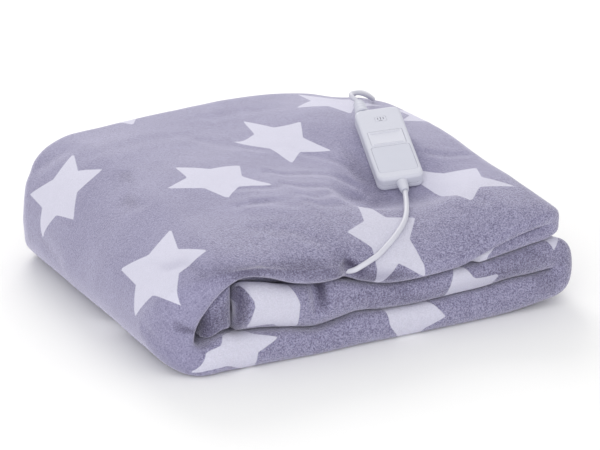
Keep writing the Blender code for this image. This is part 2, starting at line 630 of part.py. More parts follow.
def smooth_route(points, spacing):
    """Evenly spaced points on one smooth curve through the route's own points."""
    points = np.array([tuple(point) for point in points])
    lengths = np.concatenate([[0], np.cumsum(np.linalg.norm(np.diff(points, axis=0), axis=1))])
    count = max(int(round(lengths[-1] / spacing)), 2) + 1
    at = np.linspace(0, lengths[-1], count)
    return np.stack([smooth_curve(lengths, points[:, axis], at) for axis in range(3)], axis=-1)


def make_tube(name, points, diameter, collection):
    """A round cord with closed ends along the given route."""
    data = bpy.data.curves.new(name, "CURVE")
    data.dimensions = "3D"
    data.bevel_depth = diameter / 2
    data.bevel_resolution = 2
    data.use_fill_caps = True
    route = smooth_route(points, CORD_STEP * diameter)
    spline = data.splines.new("POLY")
    spline.points.add(len(route) - 1)
    for place, point in zip(spline.points, route):
        place.co = (*point, 1)
    item = bpy.data.objects.new(name, data)
    collection.objects.link(item)
    return item


def make_coil(collection):
    """The turns of the coil as one ring, and the tie that holds them."""
    half = COIL_PITCH * COIL_ROWS / 2
    inner, outer = COIL_RADIUS - half, COIL_RADIUS + half
    low, high = COIL_FLOOR, COIL_FLOOR + 2 * half
    edge = 2.0 * MM
    curve = [(inner, low + edge), (inner + edge, low), (outer - edge, low), (outer, low + edge),
             (outer, high - edge), (outer - edge, high), (inner + edge, high), (inner, high - edge)]
    mesh = bmesh.new()
    points = [mesh.verts.new((radius, 0, height)) for radius, height in reversed(curve)]
    for first, second in zip(points, points[1:] + points[:1]):
        mesh.edges.new((first, second))
    coil = finish_mesh("mains_coil", mesh, collection, None)
    coil.location = (COIL_CENTRE[0] - MIDDLE[0], COIL_CENTRE[1] - MIDDLE[1], 0)
    spin(coil, 32)

    clear = 0.4 * MM
    sag = inner - math.sqrt(inner**2 - (TIE_WIDTH / 2) ** 2)
    near, far = inner - sag - clear, outer + clear
    bottom, top = low - clear, high + clear
    mesh = bmesh.new()
    bmesh.ops.create_cube(mesh, size=1.0)
    bmesh.ops.scale(mesh, vec=(far - near, TIE_WIDTH, top - bottom), verts=mesh.verts)
    bmesh.ops.translate(mesh, vec=((near + far) / 2, 0, (top + bottom) / 2), verts=mesh.verts)
    ends = [face for face in mesh.faces if abs(face.normal.y) > 0.9]
    bmesh.ops.delete(mesh, geom=ends, context="FACES_ONLY")
    tie = finish_mesh("coil_tie", mesh, collection, None)
    tie.location = coil.location
    tie.rotation_euler = (0, 0, TIE_ANGLE)
    wall = tie.modifiers.new("wall", "SOLIDIFY")
    wall.thickness = TIE_THICKNESS
    wall.offset = 1.0
    wall.use_even_offset = True
    return coil, tie


def make_plug(collection):
    """The plug points along -X, with its sleeve towards the coil."""
    holder = bpy.data.objects.new("plug_frame", None)
    collection.objects.link(holder)
    holder.location = in_bundle(PLUG_TIP)
    holder.rotation_euler = (0, 0, math.radians(90))
    width, length, thick = PLUG_SIZE
    sleeve_length = PLUG_SLEEVE[2]
    body_from = sleeve_length + 2 * SEAT_GAP
    mesh = rounded_block((width, length, thick), (0, body_from + length / 2, 0),
                         3.0 * MM, 2.5 * MM, 2.5 * MM, 2)
    for vert in mesh.verts:
        share = smooth_step(1 - (vert.co.y - body_from) / (length * 0.75))
        vert.co.x *= 1 - (1 - PLUG_NECK[0]) * share
        vert.co.z *= 1 - (1 - PLUG_NECK[1]) * share
    finish_mesh("plug_body", mesh, collection, holder)
    sleeve = ribbed_sleeve("plug_sleeve", PLUG_SLEEVE[2:], collection, holder)
    sleeve.location = (0, sleeve_length + SEAT_GAP, 0)
    sleeve.rotation_euler = (math.radians(90), 0, 0)
    pin_from = body_from + length + SEAT_GAP
    for side, label in ((-1, "left"), (1, "right")):
        curve = [(0, 0), (PIN_ROOT_RADIUS, 0), (PIN_ROOT_RADIUS, PIN_ROOT_LENGTH),
                 (PIN_RADIUS, PIN_ROOT_LENGTH), (PIN_RADIUS, PIN_LENGTH - 2 * MM),
                 (PIN_RADIUS * 0.75, PIN_LENGTH - 0.5 * MM), (PIN_RADIUS * 0.3, PIN_LENGTH), (0, PIN_LENGTH)]
        mesh = bmesh.new()
        points = [mesh.verts.new((radius, 0, height)) for radius, height in reversed(curve)]
        for first, second in zip(points, points[1:]):
            mesh.edges.new((first, second))
        pin = finish_mesh("plug_pin_" + label, mesh, collection, holder)
        pin.location = (side * PIN_SPACING / 2, pin_from, 0)
        pin.rotation_euler = (math.radians(-90), 0, 0)
        spin(pin, 12)


# ---------------------------------------------------------------- materials

def material(name, colour, roughness, metallic=0.0):
    made = bpy.data.materials.new(name)
    made.use_nodes = True
    shader = made.node_tree.nodes["Principled BSDF"]
    shader.inputs["Base Color"].default_value = (*colour, 1.0)
    shader.inputs["Roughness"].default_value = roughness
    shader.inputs["Metallic"].default_value = metallic
    return made


def paint_parts(collection):
    fleece = material("lavender_fleece", (0.40, 0.37, 0.54), 0.95)
    shell = material("white_plastic", (0.76, 0.77, 0.82), 0.35)
    window = material("grey_window", (0.55, 0.56, 0.62), 0.2)
    cord = material("white_cord", (0.72, 0.72, 0.76), 0.5)
    strap = material("white_strap", (0.70, 0.70, 0.72), 0.7)
    metal = material("plated_pin", (0.75, 0.73, 0.68), 0.25, 1.0)
    finishes = {"blanket": fleece, "indicator_window": window, "coil_tie": strap,
                "plug_pin_left": metal, "plug_pin_right": metal, "blanket_lead": cord,
                "mains_lead": cord, "mains_tail": cord, "mains_coil": cord}
    for item in collection.objects:
        if item.type != "EMPTY":
            item.data.materials.append(finishes.get(item.name, shell))


def main():
    for item in list(bpy.data.objects):
        bpy.data.objects.remove(item, do_unlink=True)
    parts = bpy.data.collections.new("heated_blanket")
    cutters = bpy.data.collections.new("cutters")
    for group in (parts, cutters):
        bpy.context.scene.collection.children.link(group)
    make_blanket(parts)

    frame = bpy.data.objects.new("controller_frame", None)
    frame.matrix_world = controller_matrix()
    parts.objects.link(frame)
    make_controller(parts, cutters, frame)
    make_reliefs(parts, frame)
    bpy.context.view_layer.update()

    placed = frame.matrix_world
    lead = [relief_tip(placed, LEAD_RELIEF, -1)] + [in_bundle(point) for point in LEAD_ROUTE]
    make_tube("blanket_lead", lead, LEAD_DIAMETER, parts)
    mains = [relief_tip(placed, MAINS_RELIEF, 1)] + [in_bundle(point) for point in MAINS_ROUTE]
    make_tube("mains_lead", mains, MAINS_DIAMETER, parts)
    make_coil(parts)
    make_tube("mains_tail", [in_bundle(point) for point in TAIL_ROUTE], MAINS_DIAMETER, parts)
    make_plug(parts)
    paint_parts(parts)
    bpy.context.view_layer.update()


main()
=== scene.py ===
"""A folded electric heated blanket: lavender fleece with white stars, a white hand controller and its leads.

All lengths are in metres. Most numbers are given in the bundle's own frame, in millimetres, with zero
at its front left corner on the floor, x along the front, y into the depth and z up.
"""
import math

import bmesh
import bpy
import numpy as np
from mathutils import Matrix, Vector
from mathutils.geometry import delaunay_2d_cdt, tessellate_polygon

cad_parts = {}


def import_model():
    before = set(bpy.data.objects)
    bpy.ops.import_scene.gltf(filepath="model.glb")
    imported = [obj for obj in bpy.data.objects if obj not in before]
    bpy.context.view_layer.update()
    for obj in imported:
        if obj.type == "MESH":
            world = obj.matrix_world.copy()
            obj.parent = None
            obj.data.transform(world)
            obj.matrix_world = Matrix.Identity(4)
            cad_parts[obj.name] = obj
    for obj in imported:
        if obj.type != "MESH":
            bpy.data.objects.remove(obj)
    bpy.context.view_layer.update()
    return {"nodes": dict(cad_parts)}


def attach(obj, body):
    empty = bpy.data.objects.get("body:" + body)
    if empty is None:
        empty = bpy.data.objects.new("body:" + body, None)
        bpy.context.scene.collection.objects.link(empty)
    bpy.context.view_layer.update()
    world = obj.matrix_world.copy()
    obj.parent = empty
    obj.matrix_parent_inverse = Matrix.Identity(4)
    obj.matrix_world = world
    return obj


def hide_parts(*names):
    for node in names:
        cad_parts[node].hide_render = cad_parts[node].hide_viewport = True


MM = 0.001
MIDDLE = (0.222, 0.200)                      # the frame's origin, in the bundle's frame
NOISE_CELLS = 32


def mm(*values):
    """The given millimetres, in metres."""
    return tuple(value * MM for value in values)


def in_bundle(point):
    """A point given in millimetres in the bundle's frame."""
    return Vector(point) * MM - Vector((*MIDDLE, 0))


def smooth_step(share):
    share = np.clip(share, 0.0, 1.0)
    return share * share * (3.0 - 2.0 * share)


def rise(at, start, over):
    """0 up to the start, rising smoothly to 1 over the given length."""
    return smooth_step((at - start) / over)


def smooth_curve(knots, values, at):
    """Read a smooth curve through the knots. Values may hold one column of knots for each place."""
    knots = np.asarray(knots, float)
    at = np.clip(np.asarray(at, float), knots[0], knots[-1])
    values = np.broadcast_to(np.asarray(values, float), at.shape + (len(knots),))
    steps = np.diff(knots)
    slopes = np.diff(values, axis=-1) / steps
    tangents = np.empty_like(values)
    tangents[..., 0], tangents[..., -1] = slopes[..., 0], slopes[..., -1]
    tangents[..., 1:-1] = (slopes[..., 1:] * steps[:-1] + slopes[..., :-1] * steps[1:]) \
        / (steps[:-1] + steps[1:])
    cell = np.clip(np.searchsorted(knots, at, side="right") - 1, 0, len(knots) - 2)
    width = steps[cell]
    share = (at - knots[cell]) / width

    def pick(rows, offset):
        return np.take_along_axis(rows, (cell + offset)[..., None], axis=-1)[..., 0]

    start, end = pick(values, 0), pick(values, 1)
    leave, arrive = pick(tangents, 0) * width, pick(tangents, 1) * width
    return (2 * share**3 - 3 * share**2 + 1) * start + (share**3 - 2 * share**2 + share) * leave \
        + (3 * share**2 - 2 * share**3) * end + (share**3 - share**2) * arrive


def smooth_route(points, spacing):
    """Evenly spaced points on one smooth curve through the route's own points."""
    points = np.array([tuple(point) for point in points])
    lengths = np.concatenate([[0], np.cumsum(np.linalg.norm(np.diff(points, axis=0), axis=1))])
    count = max(int(round(lengths[-1] / spacing)), 2) + 1
    at = np.linspace(0, lengths[-1], count)
    return np.stack([smooth_curve(lengths, points[:, axis], at) for axis in range(3)], axis=-1)


def soft_noise(points, size, seed):
    """Smooth even noise from -1 to 1 at each point, with lumps of about the given size."""
    grid = np.random.default_rng(seed).uniform(-1, 1, (NOISE_CELLS,) * 3)
    at = points / size
    cell = np.floor(at).astype(int)
    share = smooth_step(at - cell)
    total = 0.0
    for corner in range(8):
        step = np.array([corner & 1, corner >> 1 & 1, corner >> 2 & 1])
        weight = np.prod(np.where(step, share, 1 - share), axis=-1)
        place = (cell + step) % NOISE_CELLS
        total = total + weight * grid[place[..., 0], place[..., 1], place[..., 2]]
    return total


def add_object(name, data):
    """A new object with the given data, linked to the scene."""
    item = bpy.data.objects.new(name, data)
    bpy.context.scene.collection.objects.link(item)
    return item


def feed(tree, node, inputs):
    """Set a node's inputs to values, or link them to other nodes' outputs."""
    for name, value in inputs.items():
        if isinstance(value, bpy.types.NodeSocket):
            tree.links.new(value, node.inputs[name])
        else:
            node.inputs[name].default_value = value


def new_material(name):
    material = bpy.data.materials.new(name)
    material.use_nodes = True
    return material, material.node_tree, material.node_tree.nodes["Principled BSDF"]


# ---------------------------------------------------------------- camera, floor and light

VIEW_TURN, VIEW_RISE, VIEW_DISTANCE = math.radians(-27.5), math.radians(20.9), 3.0
VIEW_TARGET = Vector((0.2095, 0.150, 0.0787)) - Vector((*MIDDLE, 0))
VIEW_LENS, VIEW_SENSOR, VIEW_CLIP = 174.6, 36.0, (0.1, 50)
ROOM_LIGHT, FLOOR_HALF, FLOOR_WHITE = 0.88, 8, 0.93
LAMPS = (                                    # name, place, aim, size, power and colour
    ("key", (0.6, 2.05, 1.45), (0, 0.05, 0.08), 1.4, 24, (1.0, 0.98, 0.93)),
    ("fill", (-1.4, -2.2, 0.85), (0, 0, 0.06), 1.8, 25, (1, 1, 1)))


def place_camera():
    away = Vector((math.sin(VIEW_TURN) * math.cos(VIEW_RISE),
                   -math.cos(VIEW_TURN) * math.cos(VIEW_RISE), math.sin(VIEW_RISE)))
    data = bpy.data.cameras.new("camera")
    data.lens, data.sensor_width = VIEW_LENS, VIEW_SENSOR
    data.clip_start, data.clip_end = VIEW_CLIP
    camera = add_object("camera", data)
    camera.location = VIEW_TARGET + away * VIEW_DISTANCE
    camera.rotation_euler = (-away).to_track_quat("-Z", "Y").to_euler()
    bpy.context.scene.camera = camera


def place_lights():
    scene = bpy.context.scene
    scene.view_settings.view_transform = "Standard"
    world = bpy.data.worlds.new("studio")
    world.use_nodes = True
    feed(world.node_tree, world.node_tree.nodes["Background"],
         {"Color": (1.0, 1.0, 1.0, 1), "Strength": ROOM_LIGHT})
    scene.world = world
    for name, place, aim, size, power, colour in LAMPS:
        data = bpy.data.lights.new(name, "AREA")
        data.shape, data.size, data.energy, data.color = "DISK", size, power, colour
        lamp = add_object(name, data)
        lamp.location = place
        lamp.rotation_euler = (Vector(aim) - Vector(place)).to_track_quat("-Z", "Y").to_euler()


def place_floor():
    data = bpy.data.meshes.new("floor")
    corners = [(FLOOR_HALF * x, FLOOR_HALF * y, 0) for x, y in ((-1, -1), (1, -1), (1, 1), (-1, 1))]
    data.from_pydata(corners, [], [(0, 1, 2, 3)])
    floor = add_object("floor", data)
    paper, tree, shader = new_material("studio_floor")
    feed(tree, shader, {"Base Color": (FLOOR_WHITE, FLOOR_WHITE, FLOOR_WHITE, 1), "Roughness": 0.9})
    data.materials.append(paper)


# ---------------------------------------------------------------- materials

LAVENDER, STAR_WHITE = (0.355, 0.343, 0.490, 1), (0.560, 0.553, 0.655, 1)
DEEP_LAVENDER, DEEP_WHITE = (0.145, 0.133, 0.224, 1), (0.630, 0.622, 0.732, 1)
# the pile's colours under painted shade
SHADED_LAVENDER, SHADED_WHITE = (0.060, 0.052, 0.095, 1), (0.300, 0.290, 0.400, 1)
PILE_GRAIN, PILE_CLUMP, BRUSH_MARK = 1.45 * MM, 4.0 * MM, 45 * MM
GRAIN_SHARE, CLUMP_SHARE = 0.78, 0.22
COARSE_CONTRAST, LEAST_CONTRAST = 3.9, 0.9
COARSE_LIFT, LEAST_LIFT = 0.75, 0.25
# the brush marks' strength, how far the grain makes the painted shade's edge ragged, and the painted shade up
# to which that edge fades in
BRUSH_STRENGTH, SHADE_RAGGING, SHADE_ONSET = 0.35, -0.9, 0.25
PRINT_STRANDS, PRINT_RAGGED, PRINT_BLUR = 1.6 * MM, 0.8 * MM, 0.5 * MM
PIN_DARK, PIN_LIGHT, PIN_ROUGHNESS = (0.62, 0.60, 0.55, 1), (0.74, 0.72, 0.67, 1), 0.18
FINISHES = {                                 # light and dark shade, roughness and coat of each plastic
    "controller_white": ((0.585, 0.592, 0.668, 1), (0.560, 0.568, 0.642, 1), 0.48, 0.1),
    # the button: a lighter copy of the shell's plastic, a painted highlight on its ridges
    "controller_button_highlight_white": ((0.610, 0.616, 0.690, 1), (0.585, 0.590, 0.664, 1), 0.42, 0.15),
    "controller_panel_white": ((0.550, 0.560, 0.640, 1), (0.525, 0.535, 0.615, 1), 0.42, 0.15),
    "controller_joint_shade": ((0.30, 0.30, 0.36, 1), (0.26, 0.26, 0.31, 1), 0.6, 0.0),
    "indicator_grey": ((0.572, 0.580, 0.656, 1), (0.547, 0.555, 0.630, 1), 0.4, 0.2),
    "indicator_mark_grey": ((0.20, 0.20, 0.25, 1), (0.16, 0.16, 0.21, 1), 0.5, 0.0),
    "cord_white": ((0.60, 0.60, 0.67, 1), (0.56, 0.56, 0.63, 1), 0.45, 0.1),
    "strap_white": ((0.60, 0.60, 0.66, 1), (0.54, 0.54, 0.60, 1), 0.8, 0.0)}


def add_node(tree, kind, inputs, output=0, **settings):
    """An output of a new shader node with the given inputs and settings."""
    node = tree.nodes.new("ShaderNode" + kind)
    for name, value in settings.items():
        setattr(node, name, value)
    feed(tree, node, inputs)
    return node.outputs[output]


def reckon(tree, operation, *values, clamp=False):
    """The result of one sum, such as MULTIPLY_ADD, on numbers and outputs."""
    return add_node(tree, "Math", dict(enumerate(values)), operation=operation, use_clamp=clamp)


def painted(tree, name):
    """What is painted on the mesh under the given name."""
    return add_node(tree, "Attribute", {}, "Fac", attribute_name=name)


def new_group(name, inputs, outputs):
    """An empty shader group with number inputs, given with their defaults, and number outputs."""
    tree = bpy.data.node_groups.new(name, "ShaderNodeTree")
    for title, value in inputs.items():
        socket = tree.interface.new_socket(name=title, in_out="INPUT", socket_type="NodeSocketFloat")
        socket.default_value = value
    for title in outputs:
        tree.interface.new_socket(name=title, in_out="OUTPUT", socket_type="NodeSocketFloat")
    return tree, tree.nodes.new("NodeGroupInput").outputs, tree.nodes.new("NodeGroupOutput")


def place_group(tree, group, **values):
    node = tree.nodes.new("ShaderNodeGroup")
    node.node_tree = group
    feed(tree, node, {name.replace("_", " ").title(): value for name, value in values.items()})
    return node.outputs


def scaled_noise(tree, place, size, detail=2.0, roughness=0.5, distortion=0.0):
    """Noise with lumps of about the given size, in metres, which may be a number or an output."""
    return add_node(tree, "TexNoise", {"Vector": place, "Scale": reckon(tree, "DIVIDE", 1.0, size),
                                       "Detail": detail, "Roughness": roughness, "Distortion": distortion})


def mixed_colour(tree, share, first, second):
    return add_node(tree, "Mix", {"Factor": share, 6: first, 7: second}, 2, data_type="RGBA")


def pile_group():
    """Short brushed pile: a shade that goes from 0 in its hollows to 1 at its tips, and its height.

    Its contrast and height follow how coarse the pile is painted, and Shaded says where painted shade lies on
    it, with an edge made ragged by the grain.
    """
    tree, given, made = new_group("fleece_pile",
                                  {"Grain": PILE_GRAIN, "Clump": PILE_CLUMP, "Brush Mark": BRUSH_MARK},
                                  ("Shade", "Shaded", "Height"))
    place = add_node(tree, "TexCoord", {}, "Object")
    grain = scaled_noise(tree, place, given["Grain"], 2.0, 0.6, 0.4)
    clump = scaled_noise(tree, place, given["Clump"], 2.0, 0.55, 1.2)
    brushed = scaled_noise(tree, place, given["Brush Mark"], 2.5, 0.55, 0.8)
    coarse, shaded = painted(tree, "pile_coarse"), painted(tree, "painted_pile_shade")
    tips = reckon(tree, "MULTIPLY_ADD", clump, CLUMP_SHARE, reckon(tree, "MULTIPLY", grain, GRAIN_SHARE))
    centred = reckon(tree, "SUBTRACT", tips, 0.5)
    contrast = reckon(tree, "MULTIPLY_ADD", coarse, COARSE_CONTRAST, LEAST_CONTRAST)
    grained = reckon(tree, "MULTIPLY_ADD", centred, contrast, 0.5)
    marks = reckon(tree, "SUBTRACT", brushed, 0.5)
    # painted shade, made ragged by the grain
    ragged_shade = reckon(tree, "MULTIPLY_ADD", centred, SHADE_RAGGING, shaded)
    in_shade = add_node(tree, "MapRange", {"Value": shaded, "From Min": 0.0, "From Max": SHADE_ONSET})
    lift = reckon(tree, "MULTIPLY_ADD", coarse, COARSE_LIFT, LEAST_LIFT)
    feed(tree, made, {"Shade": reckon(tree, "MULTIPLY_ADD", marks, BRUSH_STRENGTH, grained, clamp=True),
                      "Shaded": reckon(tree, "MULTIPLY", ragged_shade, in_shade, clamp=True),
                      "Height": reckon(tree, "MULTIPLY", tips, lift)})
    return tree


def print_group():
    """The star print: 1 inside a star and 0 outside, with an edge as ragged as the pile."""
    tree, given, made = new_group("star_print", {"Ragged": PRINT_RAGGED}, ("Star",))
    strands = scaled_noise(tree, add_node(tree, "TexCoord", {}, "Object"), PRINT_STRANDS, 2.0, 0.6)
    centred = reckon(tree, "SUBTRACT", strands, 0.5)
    inside = reckon(tree, "MULTIPLY_ADD", centred, given["Ragged"], painted(tree, "star_print"))
    feed(tree, made, {"Star": add_node(
        tree, "MapRange", {"Value": inside, "From Min": -PRINT_BLUR, "From Max": PRINT_BLUR},
        interpolation_type="SMOOTHSTEP")})
    return tree


def fleece_material():
    material, tree, shader = new_material("lavender_fleece_pile")
    nap = place_group(tree, pile_group())
    star = place_group(tree, print_group())["Star"]
    ground = mixed_colour(tree, nap["Shade"], DEEP_LAVENDER, LAVENDER)
    white = mixed_colour(tree, nap["Shade"], DEEP_WHITE, STAR_WHITE)
    # painted shade: the colours darken towards their shaded colours where shade is painted on the pile
    ground = mixed_colour(tree, nap["Shaded"], ground, SHADED_LAVENDER)
    white = mixed_colour(tree, nap["Shaded"], white, SHADED_WHITE)
    feed(tree, shader, {
        "Base Color": mixed_colour(tree, star, ground, white), "Roughness": 0.95, "Specular IOR Level": 0.15,
        "Sheen Weight": 0.85, "Sheen Roughness": 0.45, "Sheen Tint": (0.88, 0.86, 1.0, 1),
        "Normal": add_node(tree, "Bump", {"Height": nap["Height"], "Strength": 0.8, "Distance": 2.2 * MM})})
    return material


def plastic_group():
    """Moulded plastic: a fine even grain, and slow waves in its gloss."""
    tree, given, made = new_group("moulded_plastic", {"Base Roughness": 0.35},
                                  ("Roughness", "Height", "Shade"))
    place = add_node(tree, "TexCoord", {}, "Object")
    slow = scaled_noise(tree, place, 14 * MM, 2.0)
    feed(tree, made, {"Roughness": reckon(tree, "MULTIPLY_ADD", slow, 0.10, given["Base Roughness"]),
                      "Height": scaled_noise(tree, place, 0.35 * MM, 1.0), "Shade": slow})
    return tree


def plastic_material(name, plastic):
    light, dark, roughness, coat = FINISHES[name]
    material, tree, shader = new_material(name)
    body = place_group(tree, plastic, base_roughness=roughness)
    bump = add_node(tree, "Bump", {"Height": body["Height"], "Strength": 0.25, "Distance": 0.05 * MM})
    feed(tree, shader, {
        "Base Color": mixed_colour(tree, body["Shade"], dark, light), "Roughness": body["Roughness"],
        "Coat Weight": coat, "Coat Roughness": 0.35, "Specular IOR Level": 0.3, "Normal": bump})
    return material


def metal_material(plastic):
    material, tree, shader = new_material("plated_pins")
    body = place_group(tree, plastic, base_roughness=PIN_ROUGHNESS)
    feed(tree, shader, {"Base Color": mixed_colour(tree, body["Shade"], PIN_DARK, PIN_LIGHT),
                        "Roughness": body["Roughness"], "Metallic": 1.0})
    return material


# ---------------------------------------------------------------- the folded strip of fleece

PLY_SHARE, SLIT_SHARE = 0.30, 0.05           # one ply and the gap after it, in layer thicknesses
FRONT_NOSE, BACK_NOSE, ROUNDNESS = 0.38, 0.32, 0.8
SLIT_FRONT, LOWER_PLY_END = mm(11, 18)
BOTTOM_LAYER, MIDDLE_LAYER, INNER_LAYER, TOP_LAYER = mm(0, 30), mm(31, 61), mm(62, 81), mm(83, 113)
LEFT_SIDE_X = -13 * MM
UPPER_TURN_X, LOWER_TURN_X, UPPER_RIGHT_X, LOWER_RIGHT_X = mm(412, 426, 440, 457)
INNER_END_X, LEFT_TURN_X, LEFT_FOOT_X = mm(67, 61.5, 31)
INNER_END = ((34, 32), (35.5, 32.6), (37, 33), (42, 32.6), (48, 32), (53, 31.6), (61, 31))  # height, width
RIGHT_LIFT_FROM, RIGHT_LIFT_RUN, RIGHT_LIFT = mm(350, 100, 10)
RIGHT_LIFT_POWER = 1.3
# x, top of the bottom layer, top of the middle layer and underside of the top layer, at the front
FRONT_SEAMS = np.array((
    (30, 34, 66, 84), (52, 40, 80, 90), (67, 37, 92, 97), (93, 35, 90, 94), (127, 30, 78, 81),
    (155, 25, 74, 76), (178, 29, 74, 76), (196, 34, 69, 71), (233, 32, 59, 61), (266, 31, 57, 60),
    (294, 32, 59, 62), (318, 33, 61, 65), (342, 34, 61, 73), (377, 38, 66, 84), (407, 38, 71, 90),
    (440, 41, 75, 93)), float) * MM
INNER_SEAMS = mm(31, 61, 80)
SEAM_DEPTH, SEAM_GAP_HALF, LEAST_LEVEL = mm(80, 0.7, 0.3)
TOP_DEPTHS = np.array((4, 17, 35, 56, 84, 119, 200, 300, 385)) * MM
TOP_HEIGHTS = np.array((                     # x, then the height at each depth
    (20, 105, 110, 114, 117, 119.5, 121.5, 125, 127, 124),
    (70, 107, 113, 117.5, 120.5, 123.5, 126, 130, 132, 130),
    (130, 97, 107, 115, 121, 125.5, 129, 133.5, 136.5, 136),
    (190, 89, 101, 110.5, 118, 123.5, 127, 132, 137.5, 138),
    (250, 81, 94, 104, 112, 117.5, 121, 129.5, 138, 139),
    (310, 79, 91, 101, 107.5, 110, 112, 133, 140, 138),
    (345, 88, 98, 106, 112, 115, 117, 138, 140, 133),
    (380, 100, 108, 113.5, 117, 119, 120.5, 132, 135, 122),
    (440, 110, 113.5, 116, 117.8, 119.8, 121.6, 127, 124, 111)), float) * MM
TOP_WAVE_HEIGHT, TOP_WAVE_RUN = mm(0.9, 100)
TOP_WAVES = ((31, 17, 0.0), (-23, 47, 1.0))  # radians a metre in x and in y, and the start
REST_GAP, REST_BLEND, REST_MARGIN, REST_SLOPE = *mm(0.2, 1.8, 3), 11.0   # of the controller's bed
FRONT_LEFT_RADIUS, BACK_LEFT_RADIUS, FRONT_RIGHT_RADIUS, BACK_RIGHT_RADIUS = mm(56, 50, 17, 45)
CORNER_REACH = 0.985                         # the part of a corner's radius that is drawn in
RIGHT_SIDE_RISE, TUCK_RISE, LEFT_RUN = mm(50, 30), mm(38, 12), mm(20, 36)    # from, and over
DENT = mm(188, 9, 9, 30)                     # where the lead goes in: x, width, depth and reach
TUCK = mm(155, 6, 10, 60)                    # the tuck in the middle layer, given in the same way
LAYER_MARGIN = 0.5 * MM
END_PLY, END_SWELL = 0.62, 0.00002           # the strip's two ends: their ply's share, and their swell

CONTROLLER_SIZE = mm(49, 122.5, 15.5)
CONTROLLER_FACE = (327.2, 175.1, 142.7)
CONTROLLER_AIM = (25.6, 91.8, 30.4)
CONTROLLER_ROLL = math.radians(5.1)


def controller_matrix():
    """Frame of the controller: its zero is the middle of its underside."""
    lengthwise = Vector(CONTROLLER_AIM).normalized()
    across = Vector((lengthwise.y, -lengthwise.x, 0)).normalized()
    across = Matrix.Rotation(-CONTROLLER_ROLL, 3, lengthwise) @ across
    up = across.cross(lengthwise)
    placed = Matrix((across, lengthwise, up)).transposed().to_4x4()
    placed.translation = in_bundle(CONTROLLER_FACE) - up * CONTROLLER_SIZE[2]
    return placed


def even_places(x_from, x_to, step):
    count = max(int(math.ceil(abs(x_to - x_from) / step)), 1)
    return [(index + 1) / count for index in range(count)]


def straight(x_from, x_to, inner_z, outer_z, fronts, backs, step):
    """Stations along a flat run: inner point, outer point, front edge and back edge."""
    return [(x, inner_z, x, outer_z, fronts[0] + (fronts[1] - fronts[0]) * place,
             backs[0] + (backs[1] - backs[0]) * place)
            for place in even_places(x_from, x_to, step) for x in (x_from + (x_to - x_from) * place,)]


def turn(centre, inner, outer, angles, fronts, backs, count):
    """Stations around a fold. Inner and outer are radii: across, then up at the start and end."""
    rows = []
    for step in range(1, count + 1):
        place = step / count
        angle = math.radians(angles[0] + (angles[1] - angles[0]) * place)
        row = []
        for across, up_start, up_end in (inner, outer):
            up = up_start + (up_end - up_start) * smooth_step(place)
            row += [centre[0] + across * math.cos(angle), centre[1] + up * math.sin(angle)]
        rows.append((*row, fronts[0] + (fronts[1] - fronts[0]) * place,
                     backs[0] + (backs[1] - backs[0]) * place))
    return rows


def fold_stations():
    """The strip's stations, from its inner end to the end of its middle layer."""
    rows = []
    outer_x = INNER_END_X - MM
    for z, width in INNER_END:
        rows.append((outer_x - width * MM, z * MM, outer_x, z * MM, *mm(12, 384)))
    rows += turn((INNER_END_X, 61 * MM), mm(32, 20, 20), mm(1, 1, 1), (180, 90), mm(12, 20), mm(384, 390), 9)
    x_from = INNER_END_X
    for x_to, fronts, backs, step in (
            (127 * MM, mm(20, 38), mm(390, 392), 10), (318 * MM, mm(38, 38), mm(392, 392), 16),
            (342 * MM, mm(38, 9), mm(392, 396), 6), (UPPER_TURN_X, mm(9, 7), mm(396, 398), 6)):
        rows += straight(x_from, x_to, *INNER_LAYER[::-1], fronts, backs, step * MM)
        x_from = x_to
    crease = (UPPER_TURN_X, (INNER_LAYER[1] + TOP_LAYER[0]) / 2)
    rows += turn(crease, mm(1, 1, 1), mm(28, 20, 31), (-90, 90), mm(7, 0), mm(398, 399), 22)
    rows += straight(UPPER_TURN_X, LEFT_TURN_X, *TOP_LAYER, (0, 0), mm(399, 400), 3 * MM)
    rows += turn((LEFT_TURN_X, 38 * MM), mm(37.5, 45, 45), mm(74.5, 75, 75), (90, 180), mm(0, 3),
                 mm(400, 400), 38)
    rows += turn((LEFT_FOOT_X, 37 * MM), mm(7, 7, 7), mm(44, 37, 37), (180, 270), mm(3, 1), mm(400, 398), 18)
    rows += straight(LEFT_FOOT_X, LOWER_TURN_X, *BOTTOM_LAYER[::-1], mm(1, 0), mm(398, 394), 5 * MM)
    crease = (LOWER_TURN_X, (BOTTOM_LAYER[1] + MIDDLE_LAYER[0]) / 2)
    rows += turn(crease, mm(0.5, 0.5, 0.5), mm(31, 30.5, 30.5), (-90, 90), mm(0, 3), mm(394, 392), 24)
    rows += straight(LOWER_TURN_X, INNER_END_X + MM, *MIDDLE_LAYER, mm(3, 6), mm(392, 396), 4 * MM)
    return np.array(rows)


FAR_FRONT, FAR_BACK, CROWDING = -1.0, 1.0, 0.25 * MM
FINE_DEPTHS = [0.6 + 3.3 * step for step in range(120)]
HIDDEN_DEPTHS = (6, 14, 26, 40, 60, 85, 120, 180, 250, 320, 360)
SLIT_DEPTHS = (22, 60, 120, 240, 330)
NOSE_POINTS, BACK_NOSE_POINTS = 19, 11
# Reach, in thicknesses, and points of the bends inside a layer
MIDDLE_PLY_BEND, UPPER_SLIT_BEND, LOWER_PLY_BEND, SLIT_END = (-0.10, 2), (-0.25, 3), (0.13, 4), 0.03
OUTER_START = len(HIDDEN_DEPTHS) + 2 + NOSE_POINTS      # the first point of the outer ply's outline
RUN_POINT, TOP_POINT = OUTER_START + 40, OUTER_START + 60
SHOWN_POINTS, SHOWN_FADE = (OUTER_START - 16, OUTER_START + 126), 6


